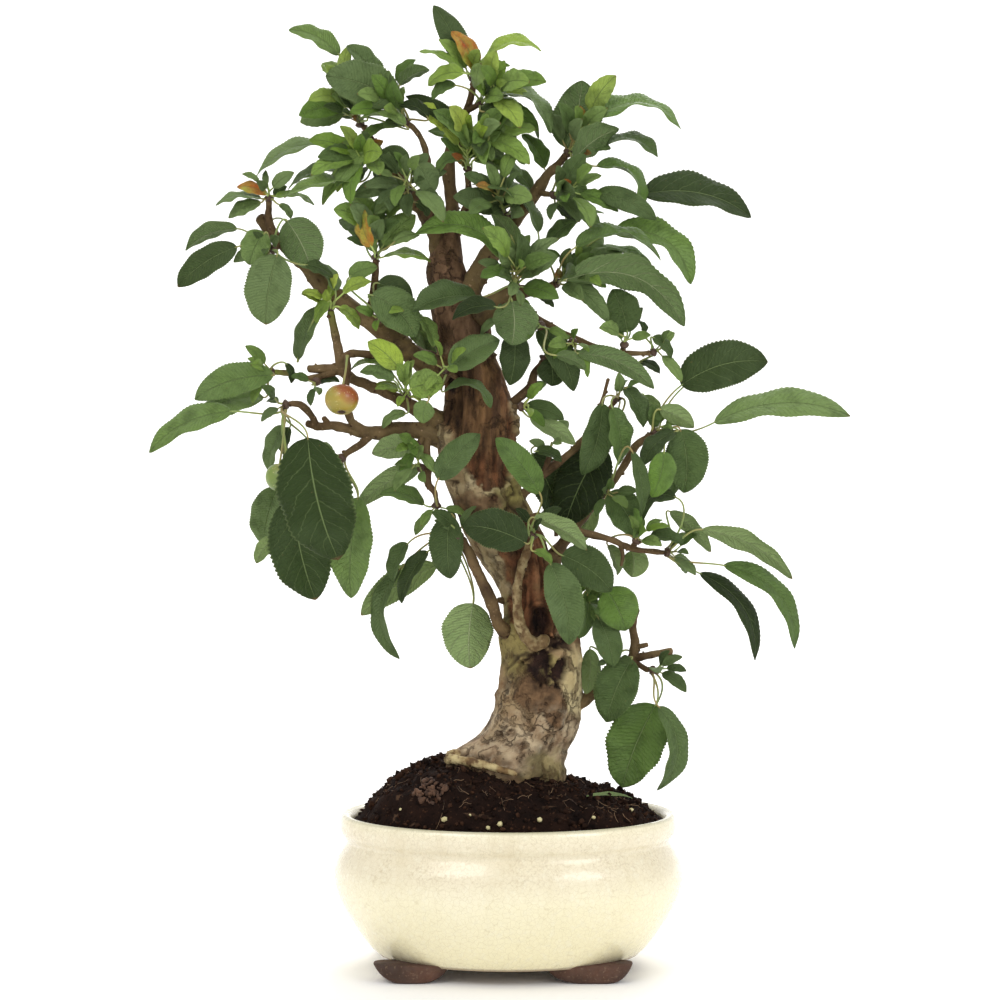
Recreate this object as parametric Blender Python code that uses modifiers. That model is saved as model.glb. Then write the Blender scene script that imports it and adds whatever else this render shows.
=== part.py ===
"""Crabapple bonsai in an oval glazed pot: solids in metres, +Z up, front towards -Y.

Places on the plant are written as (across, up, depth) in millimetres of the picture plane that
stands in the plane y = 0: across runs to the right from the middle, up from the ground, and depth
is the real y. seen() turns such a place into world metres along the line of sight.
"""
import math

import bmesh
import bpy
from mathutils import Matrix, Vector
from mathutils.bvhtree import BVHTree

MM = 0.001
EYE_DISTANCE = 1500.0
EYE_HEIGHT = 300.0

POT_CENTRE_X = 4.25
POT_DEPTH_RATIO = 0.82
POT_FLOOR_Z = 14.0
POT_SIDES = 30
FOOT_HEIGHT = 8.4
DRAIN_RADIUS = 7.0
DRAIN_OFFSET = 30.0
# Half width and height of the glazed body, from the middle of the underside round the outer wall,
# over the rim and down the inner wall to the middle of the floor.
POT_PROFILE = [
    (0.0, 7.8), (63.0, 7.8), (71.0, 12.5), (79.5, 23.0), (85.6, 35.0), (87.5, 45.0),
    (85.8, 55.0), (81.5, 63.0), (84.0, 68.5), (84.0, 76.0), (81.6, 78.0),
    (78.6, 76.6), (76.2, 64.0), (81.6, 49.0), (79.0, 34.0),
    (66.0, 17.0), (58.0, POT_FLOOR_Z), (0.0, POT_FLOOR_Z),
]

SOIL_GAP = 0.5
SOIL_EDGE_Z = 74.6
# Height of the soil's skyline across the pot, at the plane y = 0.
SOIL_SKYLINE = [
    (-80.0, 75.0), (-72.5, 78.5), (-58.5, 88.0), (-50.0, 96.0), (-40.0, 101.0), (-28.0, 104.0),
    (-10.0, 100.0), (10.0, 98.0), (32.5, 94.0), (47.0, 89.0), (67.5, 84.0), (81.0, 76.0),
    (90.0, 75.0),
]

# Rings of the trunk: height, middle across, half width, half depth, middle depth.
TRUNK_RINGS = [
    (66.0, 4.0, 22.0, 20.0, 0.0), (96.0, 3.5, 30.0, 24.0, -1.0),
    (104.0, 4.0, 29.0, 24.0, -1.0), (111.0, 7.5, 27.0, 23.0, -1.0), (117.0, 13.5, 24.5, 22.0, 0.0),
    (126.0, 17.0, 22.3, 20.5, 0.0), (139.0, 19.8, 21.4, 19.5, 0.0), 
    (158.0, 20.7, 20.2, 18.5, 0.0), (168.0, 20.4, 19.8, 18.0, 0.0), (181.0, 19.0, 16.6, 16.5, 0.0),
    (193.0, 14.6, 16.2, 15.5, 0.0), (205.0, 8.2, 17.8, 15.5, 0.0), (218.0, 2.0, 19.6, 16.0, 0.0),
    (228.0, -3.0, 19.4, 16.0, 0.0), (244.0, -9.4, 18.6, 16.5, 0.0), 
    (268.0, -12.0, 20.2, 17.0, 0.0), (280.0, -10.0, 18.4, 16.5, 0.0), (296.0, -12.4, 15.6, 15.0, 0.0),
    (309.0, -16.6, 14.4, 13.5, 0.0), (323.0, -20.0, 14.2, 13.0, 0.0), (337.0, -22.6, 12.2, 11.5, 0.0),
    (350.0, -26.8, 10.2, 9.6, 0.0), (369.0, -24.8, 4.6, 4.6, 0.0),
]
TRUNK_SIDES = 12

# Branches: rows of (across, up, depth, radius).
BRANCHES = {
    "leader_left": [(-25.5, 362, 0, 4.4), (-24.2, 372, 0, 4.0), (-24, 380, 0, 3.5), (-25, 408, 0, 2.7),
                    (-16, 430, -2, 1.8), (-13.5, 440, -2, 1.5)],
    "leader_right": [(-20, 332, -3, 7.5), (-12, 346, -4, 5.6), (5, 372, -4, 4.0), (18, 388, -4, 3.2),
                     (24, 397, -4, 2.4), (31, 404, -4, 1.7)],
    "upper_left": [(-29, 352, 0, 5.0), (-33, 370, 0, 4.0), (-38, 378, 0, 3.7), (-45, 387, 2, 3.5),
                   (-55, 402, 4, 3.2)],
    "upper_left_twig": [(-50, 395, 3, 1.6), (-60, 409, 6, 1.5), (-67, 419, 6, 1.2)],
    "upper_mid_twig": [(-34, 372, -2, 2.2), (-36, 388, -5, 1.9), (-36, 403, -6, 1.7), (-39, 414, -6, 1.5),
                       (-43, 420, -6, 1.4)],
    "upper_fork_twig": [(-22, 372, -1, 2.2), (-16, 382, -4, 1.8), (-16, 395, -5, 1.5)],
    "left_high": [(-26, 296, -1, 8.0), (-44, 308, -4, 5.2), (-51, 314, -4, 4.8), (-84, 338, -4, 4.2),
                  (-95, 350, -3, 3.9), (-103, 358, -2, 3.7), (-112, 366, -2, 3.0), (-119, 375, -2, 2.8)],
    "left_high_twig": [(-111, 364, -3, 2.2), (-115, 374, -5, 1.9), (-115, 381, -5, 1.6)],
    "left_high_shoot": [(-66, 325, -4, 2.4), (-63, 338, -4, 2.0), (-62, 352, -5, 1.6)],
    "left_mid": [(-26, 271, -2, 6.5), (-43, 281, -5, 3.3), (-58, 289, -7, 2.8), (-73, 295, -8, 2.6),
                 (-81, 299.5, -8, 2.4), (-95, 300.5, -8, 2.0)],
    "left_mid_up": [(-80, 299, -8, 2.4), (-80, 306, -8, 2.3), (-82, 316, -8, 2.2), (-84, 326, -8, 1.8)],
    "left_mid_side": [(-79.5, 306, -8, 2.0), (-73, 308, -9, 2.0), (-63, 307, -9, 1.8)],
    "left_mid_young": [(-81, 299, -9, 1.7), (-92, 296, -10, 1.6), (-98, 295.5, -10, 1.6),
                       (-105, 298, -10, 1.5), (-110, 298.5, -10, 1.3)],
    "left_low": [(-26, 266, -2, 7.5), (-38, 269, -5, 4.8), (-50, 270, -8, 4.0), (-60, 268.5, -10, 3.6),
                 (-67, 268.5, -11, 3.2), (-76, 270.5, -12, 2.5), (-84, 272, -12, 2.2), (-90, 271.5, -12, 2.1),
                 (-96, 273, -12, 1.8)],
    "left_low_up": [(-68, 269, -11, 2.8), (-74, 274, -15, 2.2), (-77, 284, -16, 1.9), (-76.5, 298, -16, 1.8),
                    (-76, 308, -16, 1.5)],
    "left_low_spur": [(-92, 272, -12, 2.0), (-94, 277, -13, 1.8), (-99, 282, -14, 1.8), (-103, 283, -14, 1.5)],
    "left_low_fork": [(-65, 267.5, -11, 2.6), (-69, 263, -13, 2.0), (-76, 258.5, -14, 1.6)],
    "left_low_stub": [(-85, 272, -12, 1.8), (-88, 275.6, -12, 1.4)],
    "hanging": [(-35, 268, -5, 2.6), (-37, 262, -9, 2.2), (-36, 250, -11, 1.9), (-36, 243, -11, 1.7),
                (-33, 239, -12, 1.5), (-32, 236, -12, 1.3)],
    "sucker": [(6, 166, -6, 4.0), (0, 172, -12, 3.2), (-4, 183, -15, 2.9), (-10, 196, -17, 2.7),
               (-14, 205, -18, 2.6), (-18, 213, -18, 2.2)],
    "bud_stub": [(6, 184, -4, 2.4), (-0.6, 184.6, -6, 1.5)],
    "right_short": [(3, 278, -2, 3.6), (7, 284, -3, 2.4), (15, 291, -5, 2.3), (17, 298, -6, 1.9),
                    (20, 302, -6, 1.5)],
    "hub": [(-12, 326, -4, 6.5), (-2, 333, -6, 5.0), (6, 338, -8, 4.2), (14, 339, -9, 3.2), (24, 341, -9, 2.2)],
    "right_long": [(-2, 331, -4, 4.0), (6, 333, -4, 3.2), (16, 326.5, -4, 2.4), (22, 323, -4, 2.0),
                   (36, 316, -5, 1.7), (52, 309.5, -6, 1.5), (62, 308, -6, 1.4), (73, 308, -6, 1.2)],
    "right_fine": [(4, 228, 0, 6.0), (11, 237, -2, 2.8), (14, 240, -3, 2.3), (22, 248, -4, 2.1),
                   (31, 255, -5, 1.9), (38, 261, -5, 1.8), (48, 272, -1, 1.6), (56, 282, 0, 1.4)],
    "right_fine_spur": [(22, 248, -4, 1.5), (24.5, 256, -7, 1.2)],
    "right_fine_stalk": [(48, 272, -1, 1.4), (51, 284, -3, 1.0), (54, 295, -4, 0.9)],
    "right_up": [(26, 204, 2, 5.0), (33, 215, 3, 2.8), (46, 232, 3, 2.4), (60, 249, 2, 2.0), (68, 262, 1, 1.9),
                 (74, 266, 0, 1.7)],
    "right_out": [(12, 223, -4, 4.0), (20, 226, -8, 2.4), (25, 223, -9, 2.0), (34, 221, -9, 1.9),
                  (40, 219, -9, 1.8), (55, 215, -10, 1.7), (62, 212, -10, 1.6), (68, 210, -10, 1.5),
                  (80, 208.5, -10, 1.3)],
    "right_out_drop": [(60, 212.6, -10, 1.2), (61.5, 207, -10, 0.9), (60.6, 202, -10, 0.8)],
    "right_out_peg": [(28, 216.5, -9, 1.1), (28, 225, -9, 1.1)],
    "right_low": [(36, 131, 0, 4.0), (46, 137, 0, 2.7), (58, 150, 2, 2.4), (66, 155.5, 2, 2.4),
                  (67.5, 164, 2, 2.3), (66.5, 172, 2, 1.9), (68.5, 179.5, 2, 1.6)],
    "right_low_side": [(66, 155.5, 2, 2.2), (72, 156.5, 1, 1.9), (85.5, 159, 0, 1.8)],
    "right_low_twig": [(66, 154.5, 2, 1.7), (73, 150, 0, 1.2)],
    "right_low_bud": [(67, 161, 2, 1.4), (73.5, 162, 0, 1.3)],
    "hook": [(15, 213, -20, 1.9), (12, 205, -19.5, 2.1), (9, 193, -18.5, 2.2), (8.5, 181, -19, 2.4),
             (11, 170, -20, 2.8), (17, 162.5, -19, 3.2), (23, 165, -18.5, 2.8)],
    "surface_root": [(-16, 106, -8, 4.5), (-25, 105, -13, 3.0), (-17, 103.5, -20, 2.3), (-8, 101.5, -24, 2.1),
                     (2, 98.8, -27, 1.6), (8, 97, -29, 1.0)],
    "snag": [(37, 162, -6, 3.0), (39.4, 154, -8, 2.2)],
}
BRANCH_SIDES = 7
FINE_SIDES = 5
SPUR_RADIUS = 1.35
BUTT_GAP = 0.3
# Distances in metres within which vertices are joined after a Boolean, tried in turn.
WELDS = (0.00001, 0.000005, 0.000002, 0.000001)

# Leafy sprays: name, tone of the spray, place in the wood where its shoot starts, place where the
# wood ends and the spray begins, and its leaves. Each leaf is base across and up, tip across and up,
# width as seen, kind, arch of the midrib, tone and depth. Kinds: f faces the front, o is turned half
# away, e is seen on its edge, u shows its underside, v shows its underside half turned.
SPRAYS = [
    ("spray_top_left", 0, (-43, 420, -6), (-45, 421.5, -6.5), [
        (-80, 456, -105, 469, 9, "o", 2, 1, 8), (-51, 433, -87, 446, 22, "f", 2, 0, -10),
        (-60, 441, -76, 461, 10, "o", 1, 1, 6), (-50, 442, -42, 454, 8, "o", 1, 1, 0),
        (-50, 441, -35, 449, 8, "v", 1, 1, -8), (-36, 425, -50, 431, 8, "o", 2, 0, -16)]),
    ("spray_apex", 2, (-13.5, 440, -2), (-13.4, 442.5, -2), [
        (-17, 450, -33, 481, 13, "f", 1, 0, 0), (-13, 448, -24, 468, 9, "o", 2, 3, -6),
        (-18, 448, -40, 458.5, 7, "e", 1, 2, -12), (-18, 447, -36, 441, 9, "o", 2, 2, -16),
        (-8, 449, 21, 458.5, 9, "e", 7, 2, -4), (-8, 444, 5, 451, 8, "o", 2, 2, -12)]),
    ("spray_apex_right", 1, (-17, 428, -2), (-11.5, 431, -7), [
        (-8, 433, 26, 417.5, 8, "e", 9, 1, -10), (-9, 430, 20, 415, 8, "e", 6, 0, 2),
        (-8, 428, 10, 421, 7, "v", 1, 1, -18), (-22, 441, -34, 434, 8, "o", 2, 2, -20),
        (-9, 436, 1, 442, 6, "o", 1, 0, -14)]),
    ("spray_upper_core", 0, (-23, 412, -1), (-16, 412.5, -7), [
        (-16, 414, -47, 436, 9, "f", 3, 0, -4), (-14, 411, -33, 429, 9, "o", 1, 1, -14),
        (-14, 409, -36, 419, 7, "o", 2, 1, -22), (-10, 418, 2, 425, 10, "f", 1, 0, -6),
        (-9, 417, 13, 402, 9, "o", 3, 1, -14), (-10, 408, 12, 396, 7, "e", 2, 1, -22)]),
    ("spray_upper_fork", 2, (-16, 395, -5), (-16, 397.4, -5), [
        (-13, 404, 4, 397, 7, "o", 2, 2, -8), (-19, 404, -31, 397, 8, "o", 3, 1, -12),
        (-17, 405, -8, 412, 6, "o", 1, 2, 8)]),
    ("spray_upper_right", 1, (31, 404, -4), (32.5, 406, -4), [
        (33, 410, 41, 443.5, 26, "u", 1, 1, -2), (37, 405, 59, 420, 20, "v", 1, 1, -16),
        (48, 425, 91, 420, 8, "e", 8, 1, -4), (50, 410, 79, 406, 7, "e", 5, 1, -24),
        (48, 401, 69, 377, 8, "e", 9, 1, -12), (22, 400, 11, 417, 11, "o", 1, 1, 6)]),
    ("spray_right_upper", 0, (18, 388, -4), (25, 387, -11), [
        (30, 394, 40, 378, 16, "f", 1, 1, -16), (28, 382, 37, 372, 9, "o", 1, 0, -10),
        (48, 388, 78, 374.5, 11, "f", 2, 0, -10), (71, 387, 126, 376.5, 16, "o", 4, 0, -18),
        (38, 373, 52, 378, 6, "e", 1, 2, -4)]),
    ("spray_leader_mid", 0, (5, 372, -4), (3, 376, -10), [
        (5, 381, -12, 390, 13, "f", 1, 0, -12), (4, 399, 16, 387, 8, "o", 2, 1, -16),
        (9, 358, -4, 378, 9, "v", 1, 1, -18)]),
    ("spray_right_mid", 1, (24, 341, -9), (26.5, 342, -10), [
        (57, 368, 96, 342.5, 13, "o", 9, 1, -12), (38, 361, 81, 355, 6, "e", 7, 2, -20),
        (42, 358, 76, 353, 4, "e", 2, 2, -2), (33, 345, 93, 322, 16, "v", 11, 1, -24),
        (23, 362, 38, 374, 12, "o", 1, 1, -12), (36, 342, 44, 335.5, 7, "o", 1, 0, -6),
        (19, 336, 27, 331, 5, "o", 1, 0, -4)]),
    ("spray_hub", 1, (7, 338, -8), (7.4, 340.9, -14.2), [
        (5, 353, -43, 368, 12, "o", 9, 1, -24), (19, 368, -14, 393, 8, "e", 6, 1, -15),
        (14, 348, 30, 357, 9, "o", 2, 1, -12), (-12, 336, -44, 329, 12, "o", 2, 0, -24),
        (-2, 331, -24, 325, 8, "o", 2, 0, -28)]),
    ("spray_hub_low", 1, (3, 336, -7), (3.4, 331.6, -12.2), [
        (6, 334, 6, 312, 23, "u", 1, 1, -30), (7, 319, 5, 292, 15, "f", 1, 0, -24)]),
    ("spray_right_twig_end", 0, (73, 308, -6), (74.6, 308.3, -6), [
        (76, 316, 86, 306, 8, "o", 1, 0, -8), (72, 318, 69, 324, 5, "o", 1, 0, -4),
        (70, 303.5, 80, 298, 7, "o", 1, 0, 0)]),
    ("spray_right_twig_mid", 0, (61, 308.2, -6), (61.5, 310.6, -7.5), [
        (63.5, 318.5, 56, 340, 18, "f", 1, 0, -8), (65, 319, 71, 331, 9, "o", 1, 0, -2)]),
    ("spray_right_twig_low", 1, (36, 316, -5), (36, 314.5, -8), [
        (39, 308, 77, 290.5, 11, "u", 4, 1, -10)]),
    ("spray_right_inner", 0, (20, 324.2, -4), (20, 322.6, -8), [
        (19, 320, 37, 289, 14, "f", 3, 0, -10), (28, 307, 43, 300, 6, "v", 1, 1, -14)]),
    ("spray_short_twig", 0, (20, 302, -6), (21, 303.8, -6.3), [
        (24, 306, 26, 291.5, 16, "f", 1, 0, -8)]),
    ("spray_trunk_top_right", 1, (2, 281, -4), (8.8, 281.3, -8), [
        (12, 280.5, 32, 275, 9, "f", 2, 1, -10), (15, 276, 38, 262.5, 9, "u", 1, 1, -12)]),
    ("spray_fine_end", 0, (56, 282, 0), (57, 283.6, -0.4), [
        (62, 291, 72, 271, 9, "o", 1, 1, -4), (51, 283, 41, 247, 15, "f", 2, 0, -12),
        (56, 281, 60, 252, 11, "o", 1, 1, -16), (51, 262, 32, 221.5, 28, "f", 1, 0, 10)]),
    ("spray_fine_spur", 0, (24.5, 256, -7), (24.8, 257.6, -7.8), [
        (16, 258, 31, 223, 18, "f", 1, 0, 4), (18, 259, 31, 254, 6, "o", 1, 0, -14)]),
    ("spray_right_cluster", 1, (74, 266, 0), (75.4, 267, 0), [
        (90, 270, 92, 238, 22, "f", 2, 1, -6), (88, 269, 71, 252, 9, "o", 2, 0, -14),
        (82, 259, 76, 236, 14, "f", 1, 2, -18), (88, 263, 84, 236, 10, "o", 1, 1, -24),
        (80, 280, 97, 271, 10, "u", 1, 2, -6), (72, 287, 78, 272, 9, "u", 1, 2, 4),
        (90.5, 292, 134, 304, 24, "f", 4, 0, 6), (107, 273.5, 175.5, 278, 14, "o", 5, 1, -4)]),
    ("spray_right_low_cluster", 1, (52, 239, 2), (53, 238, -2.5), [
        (55, 239, 69, 216, 18, "f", 1, 1, -8), (66, 259, 71, 226, 7, "o", 1, 1, -14),
        (48, 231, 38, 211, 12, "u", 1, 2, 10)]),
    ("spray_out_end", 1, (80, 208.5, -10), (81.6, 208.4, -10), [
        (112, 202, 149, 160, 10, "o", 9, 1, -10), (100, 198, 129, 154, 9, "o", 7, 0, 0),
        (101, 220, 147, 196, 10, "v", 3, 1, -16), (85, 229, 106, 209, 8, "v", 1, 1, -6),
        (88, 236, 71, 225, 7, "o", 6, 0, -22)]),
    ("spray_out_mid", 2, (66, 210.6, -10), (67.4, 213, -12), [
        (75, 216, 92, 213, 9, "o", 1, 0, -14), (54, 212, 59, 197, 7, "v", 1, 2, -4),
        (66, 209.5, 66, 196, 14, "u", 1, 2, -4)]),
    ("spray_front", 0, (15, 213, -20), (15.8, 215.3, -21), [
        (20, 238, -2, 266, 14, "f", 1, 1, -26), (13, 213, -19, 222, 21, "f", 2, 0, -28),
        (31, 207, 56, 189, 20, "f", 2, 0, -20), (25, 203, 35, 162, 18, "f", 2, 0, -26),
        (17, 226, 44, 210, 9, "v", 1, 1, -30), (17, 209, 26, 203, 5, "o", 1, 2, -32)]),
    ("spray_low_end", 1, (73, 150, 0), (74.6, 149.8, -0.6), [
        (78, 132, 61, 90, 30, "f", 1, 1, -4), (79.5, 131, 79.5, 88, 10, "o", 8, 1, -16)]),
    ("spray_low_mid", 0, (57, 149, 2), (57, 152.2, -2.5), [
        (66, 155, 53, 123, 22, "f", 1, 0, -10), (45, 160, 43, 137, 10, "u", 1, 1, -4),
        (49, 176, 57, 151, 14, "f", 1, 1, -8)]),
    ("spray_trunk_right", 2, (32, 182, -2), (38.6, 183, -5), [
        (53, 190, 63, 169, 21, "f", 1, 2, -8), (44, 189, 40, 165, 12, "o", 1, 1, -4)]),
    ("spray_sucker_end", 0, (-18, 213, -18), (-19, 214.6, -18.4), [
        (-25, 227, -25, 195, 17, "f", 1, 0, -16), (-46, 213, -54, 194, 8, "o", 1, 0, -22),
        (-36, 209, -50, 183, 8, "o", 1, 0, -20), (-50, 200, -51, 154.5, 8, "o", 8, 0, -26),
        (-32, 202, -70, 177, 15, "u", 2, 2, -8), (-13.5, 183, -15, 150, 26, "u", 1, 1, -26)]),
    ("spray_hanging_end", 1, (-32, 236, -12), (-31.8, 234, -12), [
        (-31, 245, -10, 268, 14, "f", 1, 1, -26), (-38, 232.5, -60, 238, 8, "o", 2, 1, -12)]),
    ("spray_hanging_mid", 1, (-36, 250, -11), (-38, 250.6, -13), [
        (-40, 251, -72, 231, 11, "u", 2, 2, -12)]),
    ("spray_low_near", 1, (-38, 267, -6), (-40.5, 263, -12), [
        (-43, 262, -64, 258, 12, "u", 1, 1, -16)]),
    ("spray_mid_near", 2, (-45, 282.4, -5), (-46, 286, -10), [
        (-55, 299, -75, 300, 6, "e", 3, 2, -12), (-53, 294.5, -70, 299, 7, "o", 1, 1, -20),
        (-50, 300, -66, 314, 12, "f", 1, 2, -14), (-45, 290, -28, 293, 15, "f", 1, 2, -22),
        (-36, 284, -38, 273, 11, "f", 1, 1, -26), (-47, 278, -59, 270.5, 5, "o", 2, 1, -16),
        (-47, 291, -43, 305, 5, "o", 1, 2, -16)]),
    ("spray_trunk_left", 1, (-22, 296, -8), (-26, 299, -17), [
        (-28, 289, -4, 281, 6, "e", 6, 1, -24), (-25, 301, 0, 315, 15, "f", 1, 1, -22)]),
    ("spray_left_high_near", 1, (-60, 320.5, -4), (-60, 324, -10), [
        (-64, 337, -42, 316, 20, "f", 3, 1, -16), (-61, 343, -45, 330, 15, "f", 2, 0, -6),
        (-51, 330, -36, 297, 12, "o", 4, 1, -24), (-75, 346, -61, 351, 9, "f", 1, 2, -8),
        (-40, 326, -33, 311, 9, "o", 1, 2, -14)]),
    ("spray_shoot", 2, (-84, 326, -8), (-84.4, 328.4, -8), [
        (-80, 331, -70, 320, 8, "o", 1, 2, -12), (-85, 334, -92, 323, 9, "o", 1, 2, -10),
        (-101, 305, -88, 334, 9, "o", 1, 0, -16), (-78, 338, -64, 344, 9, "o", 1, 2, -14),
        (-82, 339, -90, 352, 10, "o", 1, 1, -12)]),
    ("spray_young_end", 1, (-110, 298.5, -10), (-112, 298.6, -10), [
        (-113, 297, -153, 285, 16, "f", 3, 1, -12), (-107, 303, -104, 293, 4, "o", 1, 0, -16),
        (-118, 286, -152, 276, 12, "o", 2, 1, -6)]),
    ("spray_fruit_back", 0, (-90, 296.6, -10), (-91, 295, -12), [
        (-93, 293, -80, 294, 8, "o", 1, 0, -10)]),
    ("spray_low_end_left", 0, (-103, 283, -14), (-105, 282.8, -14.2), [
        (-134, 279, -176, 259, 12, "o", 3, 1, -12), (-108, 272, -116, 249, 8, "o", 1, 1, -8),
        (-105, 271, -107, 256, 9, "o", 1, 0, -4), (-96, 266, -81, 204, 37, "f", 2, 0, -24),
        (-111, 241, -118.5, 212, 18, "f", 1, 1, -14), (-104, 235, -92.5, 184, 30, "f", 1, 0, -12),
        (-113, 216, -122, 203, 8, "u", 1, 2, -18)]),
    ("spray_low_fork", 1, (-76, 258.5, -14), (-77.6, 257.2, -14.2), [
        (-71, 236, -75, 185, 21, "f", 1, 1, -6)]),
    ("spray_left_high_end", 1, (-115, 381, -5), (-115, 383, -5), [
        (-119, 385, -142, 382, 5, "e", 2, 1, -8), (-116, 387, -131, 391, 6, "o", 1, 3, -4),
        (-119, 383, -135.5, 375.5, 7, "o", 1, 2, -12), (-112, 386, -92, 382, 6, "e", 2, 2, -6),
        (-110, 382, -104, 375, 6, "o", 1, 1, -12)]),
    ("spray_left_high_low", 1, (-108, 362, -2), (-112.5, 360.5, -8), [
        (-131, 370, -157, 359.5, 8, "v", 2, 1, -6), (-117, 368, -125, 352, 15, "f", 1, 1, -14),
        (-131, 361, -161, 341, 14, "f", 2, 0, -14), (-111, 357, -117, 322, 24, "f", 1, 0, -20),
        (-106, 374, -94, 350, 22, "u", 1, 1, -16), (-97, 352, -83, 346, 9, "o", 1, 0, -8)]),
    ("spray_upper_left_end", 1, (-67, 419, 6), (-68.2, 420.5, 6), [
        (-71, 427, -82, 438, 9, "o", 1, 0, 2), (-66, 425, -75, 434, 7, "v", 1, 1, -4),
        (-58, 428, -48, 424, 7, "o", 1, 0, 8), (-47, 421, -70, 425, 6, "e", 2, 1, -18)]),
    ("spray_upper_left_mid", 1, (-59, 407.4, 5.8), (-62, 406, 1), [
        (-79, 410, -122, 397, 6, "e", 5, 1, 0), (-80, 399, -106, 390, 5, "e", 2, 0, 2),
        (-73, 393, -108, 386, 5, "e", 1, 2, -6), (-66, 408, -81, 398, 9, "f", 1, 2, -10),
        (-67, 403, -89, 382, 7, "o", 2, 1, -14), (-45, 404, -63, 402, 14, "f", 1, 0, -12)]),
    ("spray_upper_left_low", 0, (-45, 387, 2), (-45.5, 388.5, -5), [
        (-47, 391, -73, 386, 10, "f", 2, 1, -12), (-41, 402, -34, 387, 13, "f", 1, 0, -16),
        (-50, 383, -63, 377, 7, "o", 1, 1, -14), (-42, 383, -36, 376, 8, "o", 1, 0, -18)]),
    ("spray_left_high_shoot", 1, (-62, 352, -5), (-62, 354, -5.4), [
        (-67, 363, -74, 377, 9, "o", 1, 1, -8), (-64, 361, -69, 381, 8, "o", 1, 3, -14),
        (-58, 362, -42, 377, 13, "f", 1, 1, -10), (-53, 363, -40, 367, 7, "o", 1, 2, -18),
        (-58, 356, -34, 354, 6, "e", 2, 2, -12)]),
]
KINDS = {"f": 14.0, "o": 48.0, "e": 74.0, "u": 166.0, "v": 132.0}
# Depth shifts tried in turn, along the line of sight, until a leaf stands clear.
SHIFTS = [0, -4, 4, -8, 8, -12, 12, -16, 16, -20, 20, -25, 25, -30, 30, -36, 36]
BACK_FROM_WIDTH = 20.5
BACK_SHIFTS = [24, 30, 36, 42, 18, 48, 14]
DEPTH_LIMIT = 64.0
BLADE_THICKNESS = 0.7
PETIOLE_WIDTH = 1.1
FOLD = 0.32

FRUITS = [
    # name, centre, radius, height ratio, stalk top, twig end in the wood
    ("crabapple_ripe", (-79.0, 285.0, -28.5), 8.5, 0.9, (-76.2, 306.8, -18.3)),
    ("crabapple_green", (-110.4, 246.2, -18.0), 6.9, 1.04, (-107.0, 280.0, -16.4)),
]
FRUIT_SIDES = 12


def seen(across, up, depth):
    """World place in metres of a point of the picture plane, moved along its line of sight."""
    grow = (EYE_DISTANCE + depth) / EYE_DISTANCE
    return Vector((across * grow, depth, EYE_HEIGHT + (up - EYE_HEIGHT) * grow)) * MM


def unseen(place):
    """Picture place (across, up, depth) in millimetres of a world point."""
    x, y, z = place / MM
    grow = (EYE_DISTANCE + y) / EYE_DISTANCE
    return x / grow, EYE_HEIGHT + (z - EYE_HEIGHT) / grow, y


def linear(hex_colour):
    channels = [int(hex_colour[i:i + 2], 16) / 255 for i in (1, 3, 5)]
    return [c / 12.92 if c <= 0.04045 else ((c + 0.055) / 1.055) ** 2.4 for c in channels] + [1.0]


def principled(name, hex_colour, roughness):
    material = bpy.data.materials.new(name)
    material.use_nodes = True
    shader = material.node_tree.nodes["Principled BSDF"]
    shader.inputs["Base Color"].default_value = linear(hex_colour)
    shader.inputs["Roughness"].default_value = roughness
    return material


def collection(name):
    found = bpy.data.collections.get(name)
    if found is None:
        found = bpy.data.collections.new(name)
        bpy.context.scene.collection.children.link(found)
    return found


def mesh_object(name, vertices, faces, group):
    mesh = bpy.data.meshes.new(name)
    mesh.from_pydata([tuple(v) for v in vertices], [], faces)
    work = bmesh.new()
    work.from_mesh(mesh)
    bmesh.ops.recalc_face_normals(work, faces=work.faces)
    work.to_mesh(mesh)
    work.free()
    made = bpy.data.objects.new(name, mesh)
    collection(group).objects.link(made)
    return made


def apply_modifiers(target):
    """Bakes the modifiers of an object into its mesh."""
    graph = bpy.context.evaluated_depsgraph_get()
    graph.update()
    baked = bpy.data.meshes.new_from_object(target.evaluated_get(graph))
    target.modifiers.clear()
    target.data = baked


def tidy(target, distance=0.00002, turn=True):
    """Joins vertices that coincide and, if asked, turns all faces outwards."""
    work = bmesh.new()
    work.from_mesh(target.data)
    bmesh.ops.remove_doubles(work, verts=work.verts, dist=distance)
    bmesh.ops.dissolve_limit(work, angle_limit=0.02, verts=work.verts, edges=work.edges)
    bmesh.ops.triangulate(work, faces=work.faces)
    if turn:
        bmesh.ops.recalc_face_normals(work, faces=work.faces)
    work.to_mesh(target.data)
    work.free()


def open_edges(target):
    work = bmesh.new()
    work.from_mesh(target.data)
    count = sum(1 for e in work.edges if len(e.link_faces) != 2)
    work.free()
    return count


def combine(target, parts, operation):
    """One Boolean of a target with a collection of parts, applied; the parts are then removed."""
    group = collection("cutters")
    for item in parts:
        for owner in list(item.users_collection):
            owner.objects.unlink(item)
        group.objects.link(item)
        item.hide_render = True
        item.display_type = "WIRE"
    before = target.data
    done = False
    for solver in ("MANIFOLD", "EXACT"):
        target.data = before.copy()
        step = target.modifiers.new("join", "BOOLEAN")
        step.operation = operation
        step.operand_type = "COLLECTION"
        step.collection = group
        step.solver = solver
        apply_modifiers(target)
        raw = target.data
        for weld in WELDS:
            target.data = raw.copy()
            tidy(target, weld, False)
            shells = drop_inner_shells(target)
            whole = len(target.data.polygons) > len(before.polygons) // 2
            done = whole and shells == 1 and open_edges(target) == 0
            if done:
                break
        if done:
            break
    if not done:
        print("not one closed shell:", target.name, shells, open_edges(target))
    for item in list(group.objects):
        bpy.data.objects.remove(item)


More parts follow.
